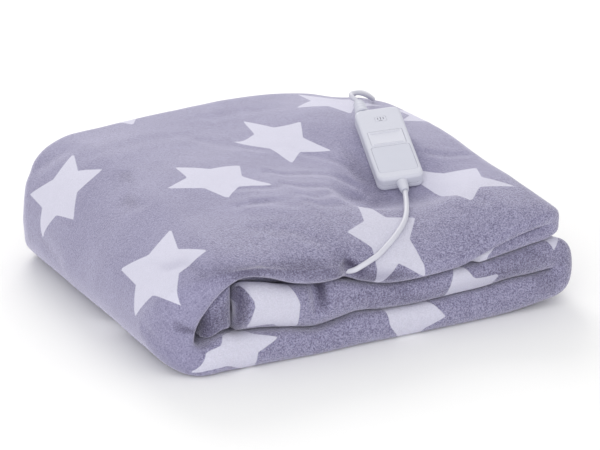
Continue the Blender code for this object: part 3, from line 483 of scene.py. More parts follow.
def layer_outline(ply, swell):
    """Outline of one layer across its depth, as three plies joined at the front and the back fold.

    Each point has a depth, the least distances that it keeps from the front and the back line, its
    nose in thicknesses, and its height share.
    """
    pitch = PLY_SHARE + SLIT_SHARE
    low = (PLY_SHARE - ply) / 2
    lower, middle, upper = [(pitch * row + low, pitch * row + low + ply) for row in range(3)]
    points = []

    def line(depths, height, side, front_rest=0.0, back_rest=0.0):
        rows = [(FAR_FRONT, front_rest, 0.0, 0.0, height)]
        for index, depth in enumerate(depths):
            before, after = index + 1, len(depths) - index
            rows.append((depth * MM, front_rest + before * CROWDING, back_rest + after * CROWDING, 0.0,
                         height + side * swell * before * after))
        rows.append((FAR_BACK, 0.0, back_rest, 0.0, height))
        points.extend(rows if side > 0 else reversed(rows))

    def bend(depth, rests, start, end, reach, count):
        centre, radius = (start + end) / 2, (end - start) / 2
        for step in range(1, count + 1):
            angle = math.pi * step / (count + 1)
            across, up = math.sin(angle) ** ROUNDNESS, math.cos(angle)
            up = math.copysign(abs(up) ** ROUNDNESS, up)
            points.append((depth, *rests, reach * across, centre - radius * up))

    line(HIDDEN_DEPTHS, lower[0], -1, 0.0, LOWER_PLY_END)
    bend(FAR_FRONT, (0.0, 0.0), lower[0], upper[1], -FRONT_NOSE, NOSE_POINTS)
    line(FINE_DEPTHS, upper[1], 1)
    bend(FAR_BACK, (0.0, 0.0), upper[1], middle[0], BACK_NOSE, BACK_NOSE_POINTS)
    line(SLIT_DEPTHS, middle[0], -1, SLIT_FRONT)
    bend(FAR_FRONT, (SLIT_FRONT, 0.0), middle[0], middle[1], *MIDDLE_PLY_BEND)
    line(SLIT_DEPTHS, middle[1], 1, SLIT_FRONT)
    points.append((FAR_BACK, 0.0, 0.0, SLIT_END, (middle[1] + upper[0]) / 2))
    line(SLIT_DEPTHS, upper[0], -1, SLIT_FRONT)
    bend(FAR_FRONT, (SLIT_FRONT, 0.0), upper[0], lower[1], *UPPER_SLIT_BEND)
    line(SLIT_DEPTHS, lower[1], 1, SLIT_FRONT, LOWER_PLY_END)
    bend(FAR_BACK, (0.0, LOWER_PLY_END), lower[1], lower[0], *LOWER_PLY_BEND)
    return np.array(points)


def corner_setback(x, z, front):
    """How far a rounded corner draws the front or back edge in."""
    left, right = (FRONT_LEFT_RADIUS, FRONT_RIGHT_RADIUS) if front else (BACK_LEFT_RADIUS, BACK_RIGHT_RADIUS)
    right_x = LOWER_RIGHT_X + (UPPER_RIGHT_X - LOWER_RIGHT_X) * rise(z, *RIGHT_SIDE_RISE)
    total = np.zeros_like(x)
    for radius, inside in ((left, x - LEFT_SIDE_X), (right, right_x - x)):
        reach = np.clip(radius - inside, 0.0, radius * CORNER_REACH)
        total += radius - np.sqrt(radius**2 - reach**2)
    return total


def controller_foot():
    """The controller's directions across, lengthwise and up, and its zero, in the bundle's frame."""
    placed = controller_matrix()
    return *(np.array(placed.col[axis][:3]) for axis in range(3)), \
        np.array(placed.translation) + np.array((*MIDDLE, 0.0))


def off_controller(places, margin=0.0):
    """How far places lie outside the controller's outline, given across it and lengthwise."""
    beside, beyond = (np.maximum(np.abs(place) - size / 2 - margin, 0)
                      for place, size in zip(places, CONTROLLER_SIZE))
    return np.hypot(beside, beyond)


def top_height(x, y):
    """Height of the top of the bundle, pressed flat under the hand controller."""
    columns = [smooth_curve(TOP_DEPTHS, row[1:], y) for row in TOP_HEIGHTS]
    top = smooth_curve(TOP_HEIGHTS[:, 0], np.stack(columns, axis=-1), x)
    waves = sum(np.sin(in_x * x + in_y * y + start) for in_x, in_y, start in TOP_WAVES)
    top += TOP_WAVE_HEIGHT * waves * smooth_step(y / TOP_WAVE_RUN)
    across, lengthwise, up, foot = controller_foot()
    plane = foot[2] - (up[0] * (x - foot[0]) + up[1] * (y - foot[1])) / up[2]
    places = [(x - foot[0]) * way[0] + (y - foot[1]) * way[1] for way in (across, lengthwise)]
    limit = plane - REST_GAP + REST_SLOPE * off_controller(places, REST_MARGIN) ** 2
    return -REST_BLEND * np.logaddexp(-top / REST_BLEND, -limit / REST_BLEND)


def settle(x, y, z):
    """Height that a point takes once the layers have settled on each other."""
    depth_share = smooth_step(y / SEAM_DEPTH)
    top = top_height(x, y)
    levels = [RIGHT_LIFT * rise(x, RIGHT_LIFT_FROM, RIGHT_LIFT_RUN) ** RIGHT_LIFT_POWER]
    for column, inner in zip((1, 2, 3), INNER_SEAMS):
        at_front = smooth_curve(FRONT_SEAMS[:, 0], FRONT_SEAMS[:, column], x)
        seam = at_front + (inner - at_front) * depth_share
        levels += [seam - SEAM_GAP_HALF, seam + SEAM_GAP_HALF]
    levels.append(top)
    flat = (*BOTTOM_LAYER, *MIDDLE_LAYER, *INNER_LAYER, *TOP_LAYER)
    for level in range(1, 8):
        levels[level] = np.maximum(levels[level], levels[level - 1] + LEAST_LEVEL)
    settled = np.zeros_like(z)
    for low in range(7):
        inside = (z >= flat[low]) if low else np.ones(z.shape, bool)
        share = (z - flat[low]) / (flat[low + 1] - flat[low])
        settled = np.where(inside, levels[low] + share * (levels[low + 1] - levels[low]), settled)
    plain = z * (top / TOP_LAYER[1])
    from_left = rise(x, *LEFT_RUN)
    return plain + (settled - plain) * from_left


def hollow(x, y, place, width, depth, reach):
    """How far a hollow in the front edge pushes each point back."""
    return depth * np.exp(-(((x - place) / width) ** 2)) * (1 - smooth_step(y / reach))


def strip_points():
    """Points of the whole folded strip: one closed outline for each station."""
    rows = fold_stations()
    outline = np.stack([layer_outline(PLY_SHARE, 0.0)] * len(rows))
    for end in (0, -1):
        outline[end] = layer_outline(PLY_SHARE * END_PLY, END_SWELL)
    depth, front_rest, back_rest, nose, height = np.moveaxis(outline, -1, 0)
    inner, outer = rows[:, None, 0:2], rows[:, None, 2:4]
    cross = inner + (outer - inner) * height[..., None]
    x, z = cross[..., 0], cross[..., 1]
    front = rows[:, None, 4] + corner_setback(x, z, True)
    back = rows[:, None, 5] - corner_setback(x, z, False)
    run = np.abs(rows[:, 2] - rows[:, 0])[:, None]
    thickness = []
    for edge in (front, back):
        low = settle(rows[:, None, 0] + 0 * x, edge, rows[:, None, 1] + 0 * z)
        high = settle(rows[:, None, 2] + 0 * x, edge, rows[:, None, 3] + 0 * z)
        thickness.append(np.sqrt((high - low) ** 2 + run**2))
    front = front + FRONT_NOSE * thickness[0]
    back = back - BACK_NOSE * thickness[1]
    y = np.minimum(np.maximum(depth, front + front_rest), back - back_rest)
    y = y + nose * np.where(depth < 0, thickness[0], thickness[1])
    in_middle_layer = rise(z, *TUCK_RISE) * (z < MIDDLE_LAYER[1] + LAYER_MARGIN)
    y = y + in_middle_layer * hollow(x, y, *TUCK)
    y = y + (z > TOP_LAYER[0] - LAYER_MARGIN) * hollow(x, y, *DENT)
    return np.stack([x, y, settle(x, y, z)], axis=-1)


def cloth_coordinates(points):
    """Where each point lies on the flat cloth: along the strip's run, and across it from its front fold."""
    reference = points[:, RUN_POINT]
    along = np.concatenate([[0], np.cumsum(np.linalg.norm(np.diff(reference, axis=0), axis=1))])
    steps = np.linalg.norm(np.diff(points, axis=1), axis=2)
    across = np.concatenate([np.zeros((len(points), 1)), np.cumsum(steps, axis=1)], axis=1)
    across = across - across[:, OUTER_START:OUTER_START + 1]
    return np.stack([np.broadcast_to(along[:, None], across.shape), across], axis=-1)


STAR_NOTCH = 0.52                            # the notches' distance from the centre, in radii
# Each star's place along and across the cloth and its radius, in mm, its turn, its stretch and the way
# of it, and then each arm's share of the radius
SHOWN_STARS = (
    (641, 258, 57, 3, 1.12, 85), (755, 180, 51, 70, 1.14, 35), (885, 276, 55.5, 52.5, 1.32, 124),
    (882, 41, 57.4, 51, 1.255, 126.5), (516, 98, 52, 6, 1.4, 47.8, (0.4, 1, 1, 0.95, 1.05)),
    (637, 27, 57, 14, 1.136, 105.7, (0.88, 1.12, 1.0, 1.06, 1.05)),
    (1812, -30, 48, 26, 1, 0, (1, 1, 0.5, 1, 1)), (1603, -38, 46, 156, 1, 0, (1, 0.8, 0.8, 0.5, 1)),
    (298, -14, 27, 60), (1238, -33, 50, 15, 1, 0, (0.85, 1.1, 0.5, 1, 1)),
    (1043, -35, 43, -2, 1.3, 0, (0.87, 1.1, 1.15, 0.3, 1)), (1492, 32, 51, -85), (528, 338, 55, -78),
    (447, 262, 45, 200), (757, 420, 50, -85), (997, 135, 40, 144),
)
STAR_LATTICE = (140, 125)                    # spacing in mm of the stars on cloth that is hidden
LATTICE_RUN, LATTICE_WIDTH = (60, 1820), (90, 560)
SHOWN_PART = (480, 985, 425)                 # the cloth that the photograph shows: from, to, and up to across
LEAST_SPACING = 105
LATTICE_SHIFT, LATTICE_RADII, PRINT_SEED = (22, 18), (44, 57), 11
STAR_BOUND, FAR_OUTSIDE = 1.8, -50 * MM      # the farthest place that a star reaches, in radii


def star_corners(along, across, radius, angle, stretch=1.0, way=0.0, arms=(1, 1, 1, 1, 1)):
    """The ten corners of a five-pointed star on the flat cloth.

    The print is stretched by the given factor in one way, in degrees, and drawn in across it. Each arm
    has its own share of the radius.
    """
    corners = []
    for tip in range(5):
        for step, reach in ((tip, arms[tip]), (tip + 0.5, STAR_NOTCH)):
            bearing = math.radians(angle + 72 * step)
            corners.append((radius * reach * math.cos(bearing), radius * reach * math.sin(bearing)))
    corners = np.array(corners)
    axis = np.array((math.cos(math.radians(way)), math.sin(math.radians(way))))
    side = np.array((-axis[1], axis[0]))
    corners = np.outer(corners @ axis * stretch, axis) + np.outer(corners @ side / stretch, side)
    return corners + np.array((along, across))


def distance_to_edge(at, start, end):
    edge, offset = end - start, at - start
    share = np.clip(offset @ edge / (edge @ edge), 0, 1)
    return np.linalg.norm(offset - share[..., None] * edge, axis=-1)


def inside_outline(at, corners):
    """How far each place lies inside a closed outline, in metres, and negative outside it."""
    nearest = np.full(at.shape[:-1], 1.0)
    crossed = np.zeros(at.shape[:-1], bool)
    for start, end in zip(corners, np.roll(corners, -1, axis=0)):
        nearest = np.minimum(nearest, distance_to_edge(at, start, end))
        run, climb = end - start
        spans = (start[1] > at[..., 1]) != (end[1] > at[..., 1])
        height = np.where(spans, (at[..., 1] - start[1]) / (climb if climb else 1.0), 0.0)
        crossed ^= spans & (at[..., 0] < start[0] + height * run)
    return np.where(crossed, nearest, -nearest)


def all_stars():
    """The stars that the photograph shows, and more of the same print over the cloth that it hides."""
    draws = np.random.default_rng(PRINT_SEED)
    stars = list(SHOWN_STARS)
    shift_along, shift_across = LATTICE_SHIFT
    for column, along in enumerate(np.arange(*LATTICE_RUN, STAR_LATTICE[0])):
        offset = 0.5 * STAR_LATTICE[1] * (column % 2)
        for across in np.arange(*LATTICE_WIDTH, STAR_LATTICE[1]):
            place = (along + draws.uniform(-shift_along, shift_along),
                     across + offset + draws.uniform(-shift_across, shift_across))
            radius, angle = draws.uniform(*LATTICE_RADII), draws.uniform(0, 72)
            in_view = SHOWN_PART[0] < place[0] < SHOWN_PART[1] and place[1] < SHOWN_PART[2]
            if not in_view and all(math.dist(place, star[:2]) > LEAST_SPACING for star in stars):
                stars.append((*place, radius, angle))
    return stars


def star_print(cloth):
    """How far each place lies inside the nearest printed star, in metres."""
    inside = np.full(cloth.shape[:-1], FAR_OUTSIDE)
    for along, across, radius, *rest in all_stars():
        corners = star_corners(along * MM, across * MM, radius * MM, *rest)
        near = np.linalg.norm(cloth - corners.mean(axis=0), axis=-1) < STAR_BOUND * radius * MM
        inside[near] = np.maximum(inside[near], inside_outline(cloth[near], corners))
    return inside


# Creases placed one by one: places along and across the cloth in mm, then the width and depth of each in mm
CREASES = (
    (((596, 142), (613, 158), (647, 164), (700, 174)), 5.0, 1.3),
    (((602, 136), (651, 126), (690, 135), (745, 150)), 5.5, 1.2),
    (((612, 128), (676, 104), (719, 109), (765, 112)), 5.0, 1.2),
    (((592, 160), (600, 184), (615, 206), (640, 228)), 6.0, 1.1),
    (((744, 111), (702, 90), (659, 84), (620, 88)), 7.0, 1.4),
    (((509, 162), (488, 150), (470, 146)), 5.0, 1.3),
    (((540, 109), (530, 80), (508, 40)), 6.0, 1.2),
    (((700, -8), (684, -10)), 4.0, 1.5),
    (((915, -38), (920, -50), (923, -62)), 4.5, 1.6),
    (((940, -12), (951, -30), (962, -40)), 5.0, 1.2),
    (((825, 247), (833, 214), (848, 190), (846, 168)), 7.0, 1.0),
    (((880, 57), (872, 34), (857, 30), (852, 6)), 6.0, 1.0),
    (((690, 344), (644, 347), (600, 346)), 8.0, 0.6),
    (((830, 309), (779, 315), (730, 308)), 9.0, 0.6),
    (((720, 290), (693, 245), (636, 238)), 7.0, 0.9),
    (((770, 60), (735, 48), (708, 22), (704, 2)), 8.0, 1.3),
    (((560, 10), (535, 24), (505, 20)), 7.0, 1.1),
    (((955, 300), (940, 250), (950, 200)), 10.0, 1.5),
    (((905, 380), (880, 350), (850, 352)), 10.0, 1.3),
    (((455, 60), (440, 140), (446, 230)), 9.0, 1.4),
    (((1762, 2), (1761, -34)), 3.6, 3.6),
    (((1389, -41), (1408, -18)), 6.0, 1.4),
    (((1690, -2), (1672, -20), (1650, -24)), 5.0, 1.1),
    (((1128, -45), (1140, -30), (1138, -18)), 6.0, 0.9),
    (((1320, -44), (1335, -28)), 6.0, 1.0),
    (((1530, -4), (1512, -22)), 5.0, 1.2),
)
# Painted shade on the pile, in its hollows and folds and as the controller's shadow beside it: place, then
# half length, along and across the cloth in mm, and strength
PAINTED_SHADE_SPOTS = (
    (748, -3, 62, 11, 0.50), (810, -4, 18, 9, 0.40), (700, -17, 40, 9, 0.35), (655, -19, 34, 7, 0.60),
    (690, -9, 13, 5, 0.60), (1762, -10, 3.5, 20, 0.95), (1853, -35, 9, 70, 0.85), (8, -30, 13, 60, 0.60),
    (16, -52, 12, 14, 0.50), (1700, -22, 60, 24, 0.22), (1540, -20, 50, 30, 0.30),
    (1400, -30, 40, 20, 0.22), (848, 188, 13, 20, 0.22), (829, 240, 11, 16, 0.20),
    (866, 38, 20, 13, 0.22), (921, -52, 7, 15, 0.50), (588, 165, 14, 52, 0.34), (600, 118, 16, 16, 0.24),
    (840, 2, 26, 16, 0.20), (1462, -20, 28, 30, 0.25), (1600, -26, 90, 8, 0.25), (1150, -42, 90, 6, 0.30),
)
FAN_CENTRE = mm(566, 132)                    # pulled folds that fan out from the controller's near corner
FAN_START, FAN_END = mm(22, 30), mm(110, 90)     # where they grow and fade: from, and over
FAN_BEARING, FAN_SPREAD, FAN_FOLDS, FAN_LENGTH = 0.15, 0.5, 9, 90 * MM
FAN_DRAW, FAN_SEED = (40, 5, 0.5), 5
# Size in metres, height in mm and seed of the waves in the cloth
WAVES = ((0.050, 0.7, 1), (0.024, 0.24, 2), (0.010, 0.08, 3))
FAN_HEIGHT, CREASE_SHARE, CREASE_RIM = 0.55 * MM, 0.62, 0.35
TOP_LAYER_RUN = (0.455, 0.985)               # the top layer's part of the cloth, along it
# painted shade in the creases: its strength, and the crease depth at which it is full
CREASE_SHADE, CREASE_FULL = 0.20, 1.2 * MM
COARSE_RUN, LEAST_COARSE = (455, 1000), 0.30     # the top layer's run, in mm, and its finest pile
FINE_LEFT, FINE_BACK, FINE_SHARE = (770, 90), (40, 90), 0.65     # where it gets finer: from, and over
FLOOR_RUN, CLEAR_RUN, INNER_FREEDOM = mm(3, 12), 16 * MM, 0.4


def distance_to_line(at, line):
    line = np.array(line, float) * MM
    return np.minimum.reduce([distance_to_edge(at, start, end) for start, end in zip(line[:-1], line[1:])])


def fanned_folds(cloth):
    """Folds that fan out from the controller's near corner, from -1 to 1."""
    offset = cloth - np.array(FAN_CENTRE)
    away, bearing = np.hypot(offset[..., 0], offset[..., 1]), np.arctan2(offset[..., 1], offset[..., 0])
    places = np.stack([bearing * FAN_FOLDS, away / FAN_LENGTH, 0 * away], axis=-1) + FAN_DRAW
    window = rise(away, *FAN_START) * (1 - rise(away, *FAN_END)) \
        * np.exp(-((bearing - FAN_BEARING) / FAN_SPREAD) ** 4)
    return soft_noise(places, 1.0, FAN_SEED) * window


def clear_of_controller(points):
    """0 on the cloth under the hand controller, rising to 1 a little way off it."""
    across, lengthwise, _, foot = controller_foot()
    return smooth_step(off_controller([(points - foot) @ way for way in (across, lengthwise)]) / CLEAR_RUN)


def rumpled(points, cloth):
    """The folded strip with waves and creases pressed into the cloth that shows, and the creases' depth."""
    outward = np.cross(np.gradient(points, axis=0), np.gradient(points, axis=1))
    outward /= np.maximum(np.linalg.norm(outward, axis=-1, keepdims=True), 1e-12)
    if outward[len(points) // 3, TOP_POINT, 2] < 0:              # a place on the top, which faces up
        outward = -outward
    columns = np.arange(points.shape[1])
    first, last = SHOWN_POINTS
    shows = rise(columns, first, SHOWN_FADE) * (1 - rise(columns, last, SHOWN_FADE))
    in_top_layer = (cloth[..., 0] > TOP_LAYER_RUN[0]) & (cloth[..., 0] < TOP_LAYER_RUN[1])
    free = np.where(in_top_layer, 1.0, INNER_FREEDOM) * shows[None] * rise(points[..., 2], *FLOOR_RUN) \
        * clear_of_controller(points)
    waves = sum(height * MM * soft_noise(points, size, seed) for size, height, seed in WAVES)
    waves = waves + FAN_HEIGHT * fanned_folds(cloth)
    depth = np.zeros(points.shape[:-1])
    for line, width, deep in CREASES:
        away = distance_to_line(cloth, line)
        width = width * MM
        rim = np.exp(-(((away - 2 * width) / width) ** 2))
        depth += CREASE_SHARE * deep * MM * (np.exp(-((away / width) ** 2)) - CREASE_RIM * rim)
    moved = (waves - depth) * free
    return points + outward * moved[..., None], depth


def painted_pile_shade(cloth, depth):
    """How deep the painted shade on the pile is, in its creases and hollows, and how coarse it looks."""
    along, across = cloth[..., 0] / MM, cloth[..., 1] / MM
    # painted shade, deeper in deeper creases, and then the listed spots of painted shade and shadow
    shade = CREASE_SHADE * np.clip(depth / CREASE_FULL, 0, 1)
    for place, beside, half_length, half_width, strength in PAINTED_SHADE_SPOTS:
        shade = shade + strength * np.exp(-(((along - place) / half_length) ** 2)
                                          - ((across - beside) / half_width) ** 2)
    in_top_layer = (along > COARSE_RUN[0]) & (along < COARSE_RUN[1])
    on_top = (1 - rise(across, *FINE_BACK)) * (1 - FINE_SHARE * rise(along, *FINE_LEFT))
    on_top = np.maximum(on_top, LEAST_COARSE)
    return np.clip(shade, 0, 1), np.where(in_top_layer, on_top, 1.0)


def mend(data, merge=0.0):
    """Turn a mesh's faces outward, after merging its points that lie closer than merge."""
    mesh = bmesh.new()
    mesh.from_mesh(data)
    if merge:
        bmesh.ops.remove_doubles(mesh, verts=mesh.verts[:], dist=merge)
    bmesh.ops.recalc_face_normals(mesh, faces=mesh.faces[:])
    mesh.to_mesh(data)
    mesh.free()
    data.shade_smooth()


def make_blanket():
    points = strip_points()
    cloth = cloth_coordinates(points)
    points, depth = rumpled(points, cloth)
    stations, around = points.shape[:2]
    world = points - np.array((*MIDDLE, 0.0))
    index = np.arange(stations * around).reshape(stations, around)
    after = np.roll(index, -1, axis=1)
    quads = np.stack([index[:-1], after[:-1], after[1:], index[1:]], axis=-1).reshape(-1, 4)
    faces = [tuple(face) for face in quads.tolist()]
    for row in (0, stations - 1):
        ring = [Vector(point) for point in world[row]]
        for corners in tessellate_polygon([ring]):
            faces.append(tuple(int(index[row, corner]) for corner in corners))
    data = bpy.data.meshes.new("blanket_cloth")
    data.from_pydata(world.reshape(-1, 3).tolist(), [], faces)
    mend(data)
    # the painted shade on the pile, and how coarse the pile is
    shade, coarse = painted_pile_shade(cloth, depth)
    for name, values in (("star_print", star_print(cloth)), ("painted_pile_shade", shade), ("pile_coarse", coarse)):
        paint = data.attributes.new(name, "FLOAT", "POINT")
        paint.data.foreach_set("value", values.reshape(-1).astype(np.float32))
    data.materials.append(fleece_material())
    return add_object("blanket_cloth", data)


# ---------------------------------------------------------------- lofted and turned pieces

SHARP_ANGLE, MERGE, SAME_PLACE = math.radians(38), 0.000002, 0.000001
ROUND_STEPS, CORNER_STEPS, LEAST_CORNER = 32, 8, 0.2 * MM


def new_piece(name, skin, material, placed):
    """A mesh piece at the frame's origin, of a skin's points and faces, smooth except over sharp edges."""
    points, faces = skin
    data = bpy.data.meshes.new(name)
    data.from_pydata([tuple(placed @ Vector(point)) for point in points], [], faces)
    mend(data, MERGE)
    data.set_sharp_from_angle(angle=SHARP_ANGLE)
    data.materials.append(material)
    piece = add_object(name, data)
    piece.modifiers.new("even_normals", "WEIGHTED_NORMAL").keep_sharp = True
    return piece


def rounded_ring(size, corner, level, centre=(0.0, 0.0), steps=CORNER_STEPS):
    """Points around a rectangle with round corners, anticlockwise from its right side."""
    points = []
    for quarter, (side_x, side_y) in enumerate(((1, 1), (-1, 1), (-1, -1), (1, -1))):
        corner_x = centre[0] + side_x * (size[0] / 2 - corner)
        corner_y = centre[1] + side_y * (size[1] / 2 - corner)
        for step in range(steps + 1):
            angle = math.pi / 2 * (quarter + step / steps)
            points.append((corner_x + corner * math.cos(angle), corner_y + corner * math.sin(angle), level))
    return points


def loft(rings, first_closed=True, last_closed=True):
    """Points and faces of a skin over rings of equal count, with its ends closed or left open."""
    count = len(rings[0])
    points = [point for ring in rings for point in ring]
    faces = []
    for row in range(len(rings) - 1):
        for step in range(count):
            after = (step + 1) % count
            faces.append((row * count + step, row * count + after,
                          (row + 1) * count + after, (row + 1) * count + step))
    if first_closed:
        faces.append(tuple(reversed(range(count))))
    if last_closed:
        faces.append(tuple(range(len(points) - count, len(points))))
    return points, faces


def joined(*parts):
    """Points and faces of several skins as one."""
    points, faces = [], []
    for part_points, part_faces in parts:
        faces += [tuple(corner + len(points) for corner in face) for face in part_faces]
        points += list(part_points)
    return points, faces


def shifted(skin, along_x, along_y):
    """A skin moved in its own plane."""
    points, faces = skin
    return [(x + along_x, y + along_y, z) for x, y, z in points], faces


def edge_rings(size, corner, levels, edge, steps):
    """Rings up the side of a plate from the first level to the second, whose top edge is rounded."""
    low, high = levels
    rings = [rounded_ring(size, corner, low)]
    for step in range(steps + 1):
        angle = math.pi / 2 * step / steps
        inset = edge * (1 - math.cos(angle))
        level = high - edge + edge * math.sin(angle)
        rings.append(rounded_ring((size[0] - 2 * inset, size[1] - 2 * inset),
                                  max(corner - inset, LEAST_CORNER), level))
    return rings


def turned(curve):
    """Points and faces of a profile of (radius, height) rows turned about Z, with closed ends."""
    angles = np.linspace(0, 2 * math.pi, ROUND_STEPS, endpoint=False)
    return loft([[(radius * math.cos(angle), radius * math.sin(angle), height) for angle in angles]
                 for radius, height in curve])


# ---------------------------------------------------------------- hand controller

BASE_HEIGHT, SHELL_JOINT, BODY_CORNER, FACE_EDGE = mm(6, 0.4, 8, 3.5)
BASE_EDGE = (mm(2.5, 0), mm(1.2, 0.35), mm(0.35, 1.2), mm(0, 2.5))   # inset and level of each ring
JOINT_EDGE, JOINT_INSET, JOINT_OVERLAP = mm(0.35, 0.8, 0.1)
BUTTON_SIZE, BUTTON_Y, BUTTON_RIDGE = mm(37, 24.4, 3.4), 8.2 * MM, mm(2.4, 0.7)
BUTTON_DISH = ((1.5, 0.02), (4, 0.10), (7, 0.20), (10, 0.28))        # inset and dip of each ring, in mm
PANEL_SIZE, PANEL_Y = mm(41, 43.6, 0.9), -27.9 * MM
WINDOW_SIZE, WINDOW_PLACE = mm(12, 8.5, 0.8), mm(0.5, 41)
OPENINGS = (                                 # size, place, corner, depth, and the gap round the piece in it
    (BUTTON_SIZE, (0, BUTTON_Y), *mm(2, 5.2, 0.2)), (PANEL_SIZE, (0, PANEL_Y), *mm(3, 0.9, 0.26)),
    (WINDOW_SIZE, WINDOW_PLACE, *mm(1.2, 0.8, 0.12)))
OPENING_RIM = 0.1 * MM
INDICATOR_MARKS = (                          # place on the indicator field, and size
    (mm(-3, 0.6), mm(0.9, 3.6)), (mm(0, 0.8), mm(0.9, 4.6)), (mm(3, 0.6), mm(0.9, 3.6)),
    (mm(-0.6, -3), mm(4.4, 0.8)))
LEAD_SLEEVE = mm(0.3, 8.2, 14, 6.3, 4.3)     # offset, level, length and two radii
MAINS_SLEEVE = mm(-14.5, 8.2, 20, 7.8, 6)
SLEEVE_GAP, CORD_GAP = mm(0.33, 1.6)
SLEEVE_STEPS = 40


def plate_with_openings(rim, openings):
    """Points and faces of a flat plate inside its rim, open where the openings are."""
    corners, edges = [], []
    for ring in (rim, *openings):
        first = len(corners)
        corners += ring
        edges += [(first + step, first + (step + 1) % len(ring)) for step in range(len(ring))]
    flat, _, faces, *_ = delaunay_2d_cdt([corner.to_2d() for corner in corners], edges, [], 0, SAME_PLACE)
    kept = []
    for face in faces:
        middle = np.array(sum((flat[corner] for corner in face), Vector((0, 0))) / len(face))
        in_rim, *in_openings = [
            inside_outline(middle[None], np.array([point.to_2d() for point in ring]))[0] > 0
            for ring in (rim, *openings)]
        if in_rim and not any(in_openings):
            kept.append(tuple(face))
    return [(point.x, point.y, rim[0].z) for point in flat], kept


def make_controller_shells(plastic, dark, placed):
    """The lower and the upper housing, with a dark joint between them."""
    width, length, height = CONTROLLER_SIZE

    def inset_ring(inset, level):
        return rounded_ring((width - 2 * inset, length - 2 * inset), BODY_CORNER - inset, level)

    rings = [inset_ring(inset, level) for inset, level in
             (*BASE_EDGE, (0, BASE_HEIGHT - JOINT_EDGE), (JOINT_EDGE, BASE_HEIGHT))]
    base = new_piece("controller_lower_shell", loft(rings), plastic, placed)

    low = BASE_HEIGHT + SHELL_JOINT
    outer = [rounded_ring((width - 2 * JOINT_EDGE, length - 2 * JOINT_EDGE), BODY_CORNER, low)]
    outer += edge_rings((width, length), BODY_CORNER, (low + JOINT_EDGE, height), FACE_EDGE, 9)
    parts, openings = [loft(outer, True, False)], []
    for size, centre, corner, depth, gap in OPENINGS:
        wide, long, corner = size[0] + 2 * gap, size[1] + 2 * gap, corner + gap
        rings = [rounded_ring((wide + 2 * rim, long + 2 * rim), corner + rim, level, centre)
                 for rim, level in ((OPENING_RIM, height), (0, height - OPENING_RIM), (0, height - depth))]
        openings.append([Vector(point) for point in rings[0]])
        parts.append(loft(rings, False, True))
    parts.append(plate_with_openings([Vector(point) for point in outer[-1]], openings))
    cover = new_piece("controller_upper_shell", joined(*parts), plastic, placed)

    rings = [inset_ring(JOINT_INSET, level) for level in (BASE_HEIGHT - JOINT_OVERLAP, low + JOINT_OVERLAP)]
    return base, cover, new_piece("controller_joint", loft(rings), dark, placed)


def make_face_details(plastic, window, mark, placed):
    """The face panel, and the indicator field with its faint marks."""
    height = CONTROLLER_SIZE[2]
    low, high = height - PANEL_SIZE[2] + 0.05 * MM, height - 0.08 * MM
    plate = loft(edge_rings(PANEL_SIZE[:2], 3 * MM, (low, high), 0.35 * MM, 3))
    panel = new_piece("controller_panel", shifted(plate, 0, PANEL_Y), plastic, placed)
    low, high = height - WINDOW_SIZE[2] + 0.05 * MM, height + 0.05 * MM
    plate = loft(edge_rings(WINDOW_SIZE[:2], 1.2 * MM, (low, high), 0.25 * MM, 3))
    field = new_piece("controller_indicator", shifted(plate, *WINDOW_PLACE), window, placed)
    marks = []
    for place, size in INDICATOR_MARKS:
        bar = loft(edge_rings(size, min(size) * 0.45, (high - 0.1 * MM, high + 0.04 * MM), 0.03 * MM, 2))
        marks.append(shifted(bar, WINDOW_PLACE[0] + place[0], WINDOW_PLACE[1] + place[1]))
    return panel, field, new_piece("controller_indicator_marks", joined(*marks), mark, placed)


def make_button(plastic, placed):
    """The wide push button, slightly dished between its two cross ridges."""
    height = CONTROLLER_SIZE[2]
    wide, long, thick = BUTTON_SIZE
    rings = edge_rings((wide, long), 2 * MM, (height - thick, height), 0.5 * MM, 4)
    for inset, dip in (mm(*ring) for ring in BUTTON_DISH):
        rings.append(rounded_ring((wide - 2 * inset, long - 2 * inset), 1.5 * MM, height - dip))
    ridge_wide, ridge_high = BUTTON_RIDGE
    bar = loft(edge_rings((wide - 5 * MM, ridge_wide), ridge_wide * 0.48,
                          (height - 0.5 * MM, height + ridge_high), ridge_wide * 0.45, 5))
    ridges = [shifted(bar, 0, side * (long / 2 - ridge_wide)) for side in (-1, 1)]
    return new_piece("controller_button", shifted(joined(loft(rings), *ridges), 0, BUTTON_Y), plastic, placed)


def sleeve_skin(length, root, tip, rings=0, groove=0.0):
    """A tapered cord sleeve with a round mouth, and shallow grooves if it has any."""
    curve = [(root * 0.2, 0), (root - 0.3 * MM, 0), (root, 0.3 * MM)]
    for step in range(1, SLEEVE_STEPS):
        along = step / SLEEVE_STEPS
        depth = groove * max(0.0, math.sin(2 * math.pi * rings * along)) ** 2
        curve.append((root + (tip - root) * along - depth, length * along))
    return turned(curve + [(tip, length - 0.5 * MM), (tip - 0.4 * MM, length), (tip * 0.4, length)])


def make_sleeve(name, sizes, side, material, placed, *grooves):
    """A sleeve that leads a cord out of the controller's end: side is -1 for the near end."""
    offset, level, length, root, tip = sizes
    start = placed @ Matrix.Translation((offset, side * (CONTROLLER_SIZE[1] / 2 + SLEEVE_GAP), level)) \
        @ Matrix.Rotation(math.radians(-90 * side), 4, "X")
    return new_piece(name, sleeve_skin(length, root, tip, *grooves), material, start)


# ---------------------------------------------------------------- cords, coil and plug

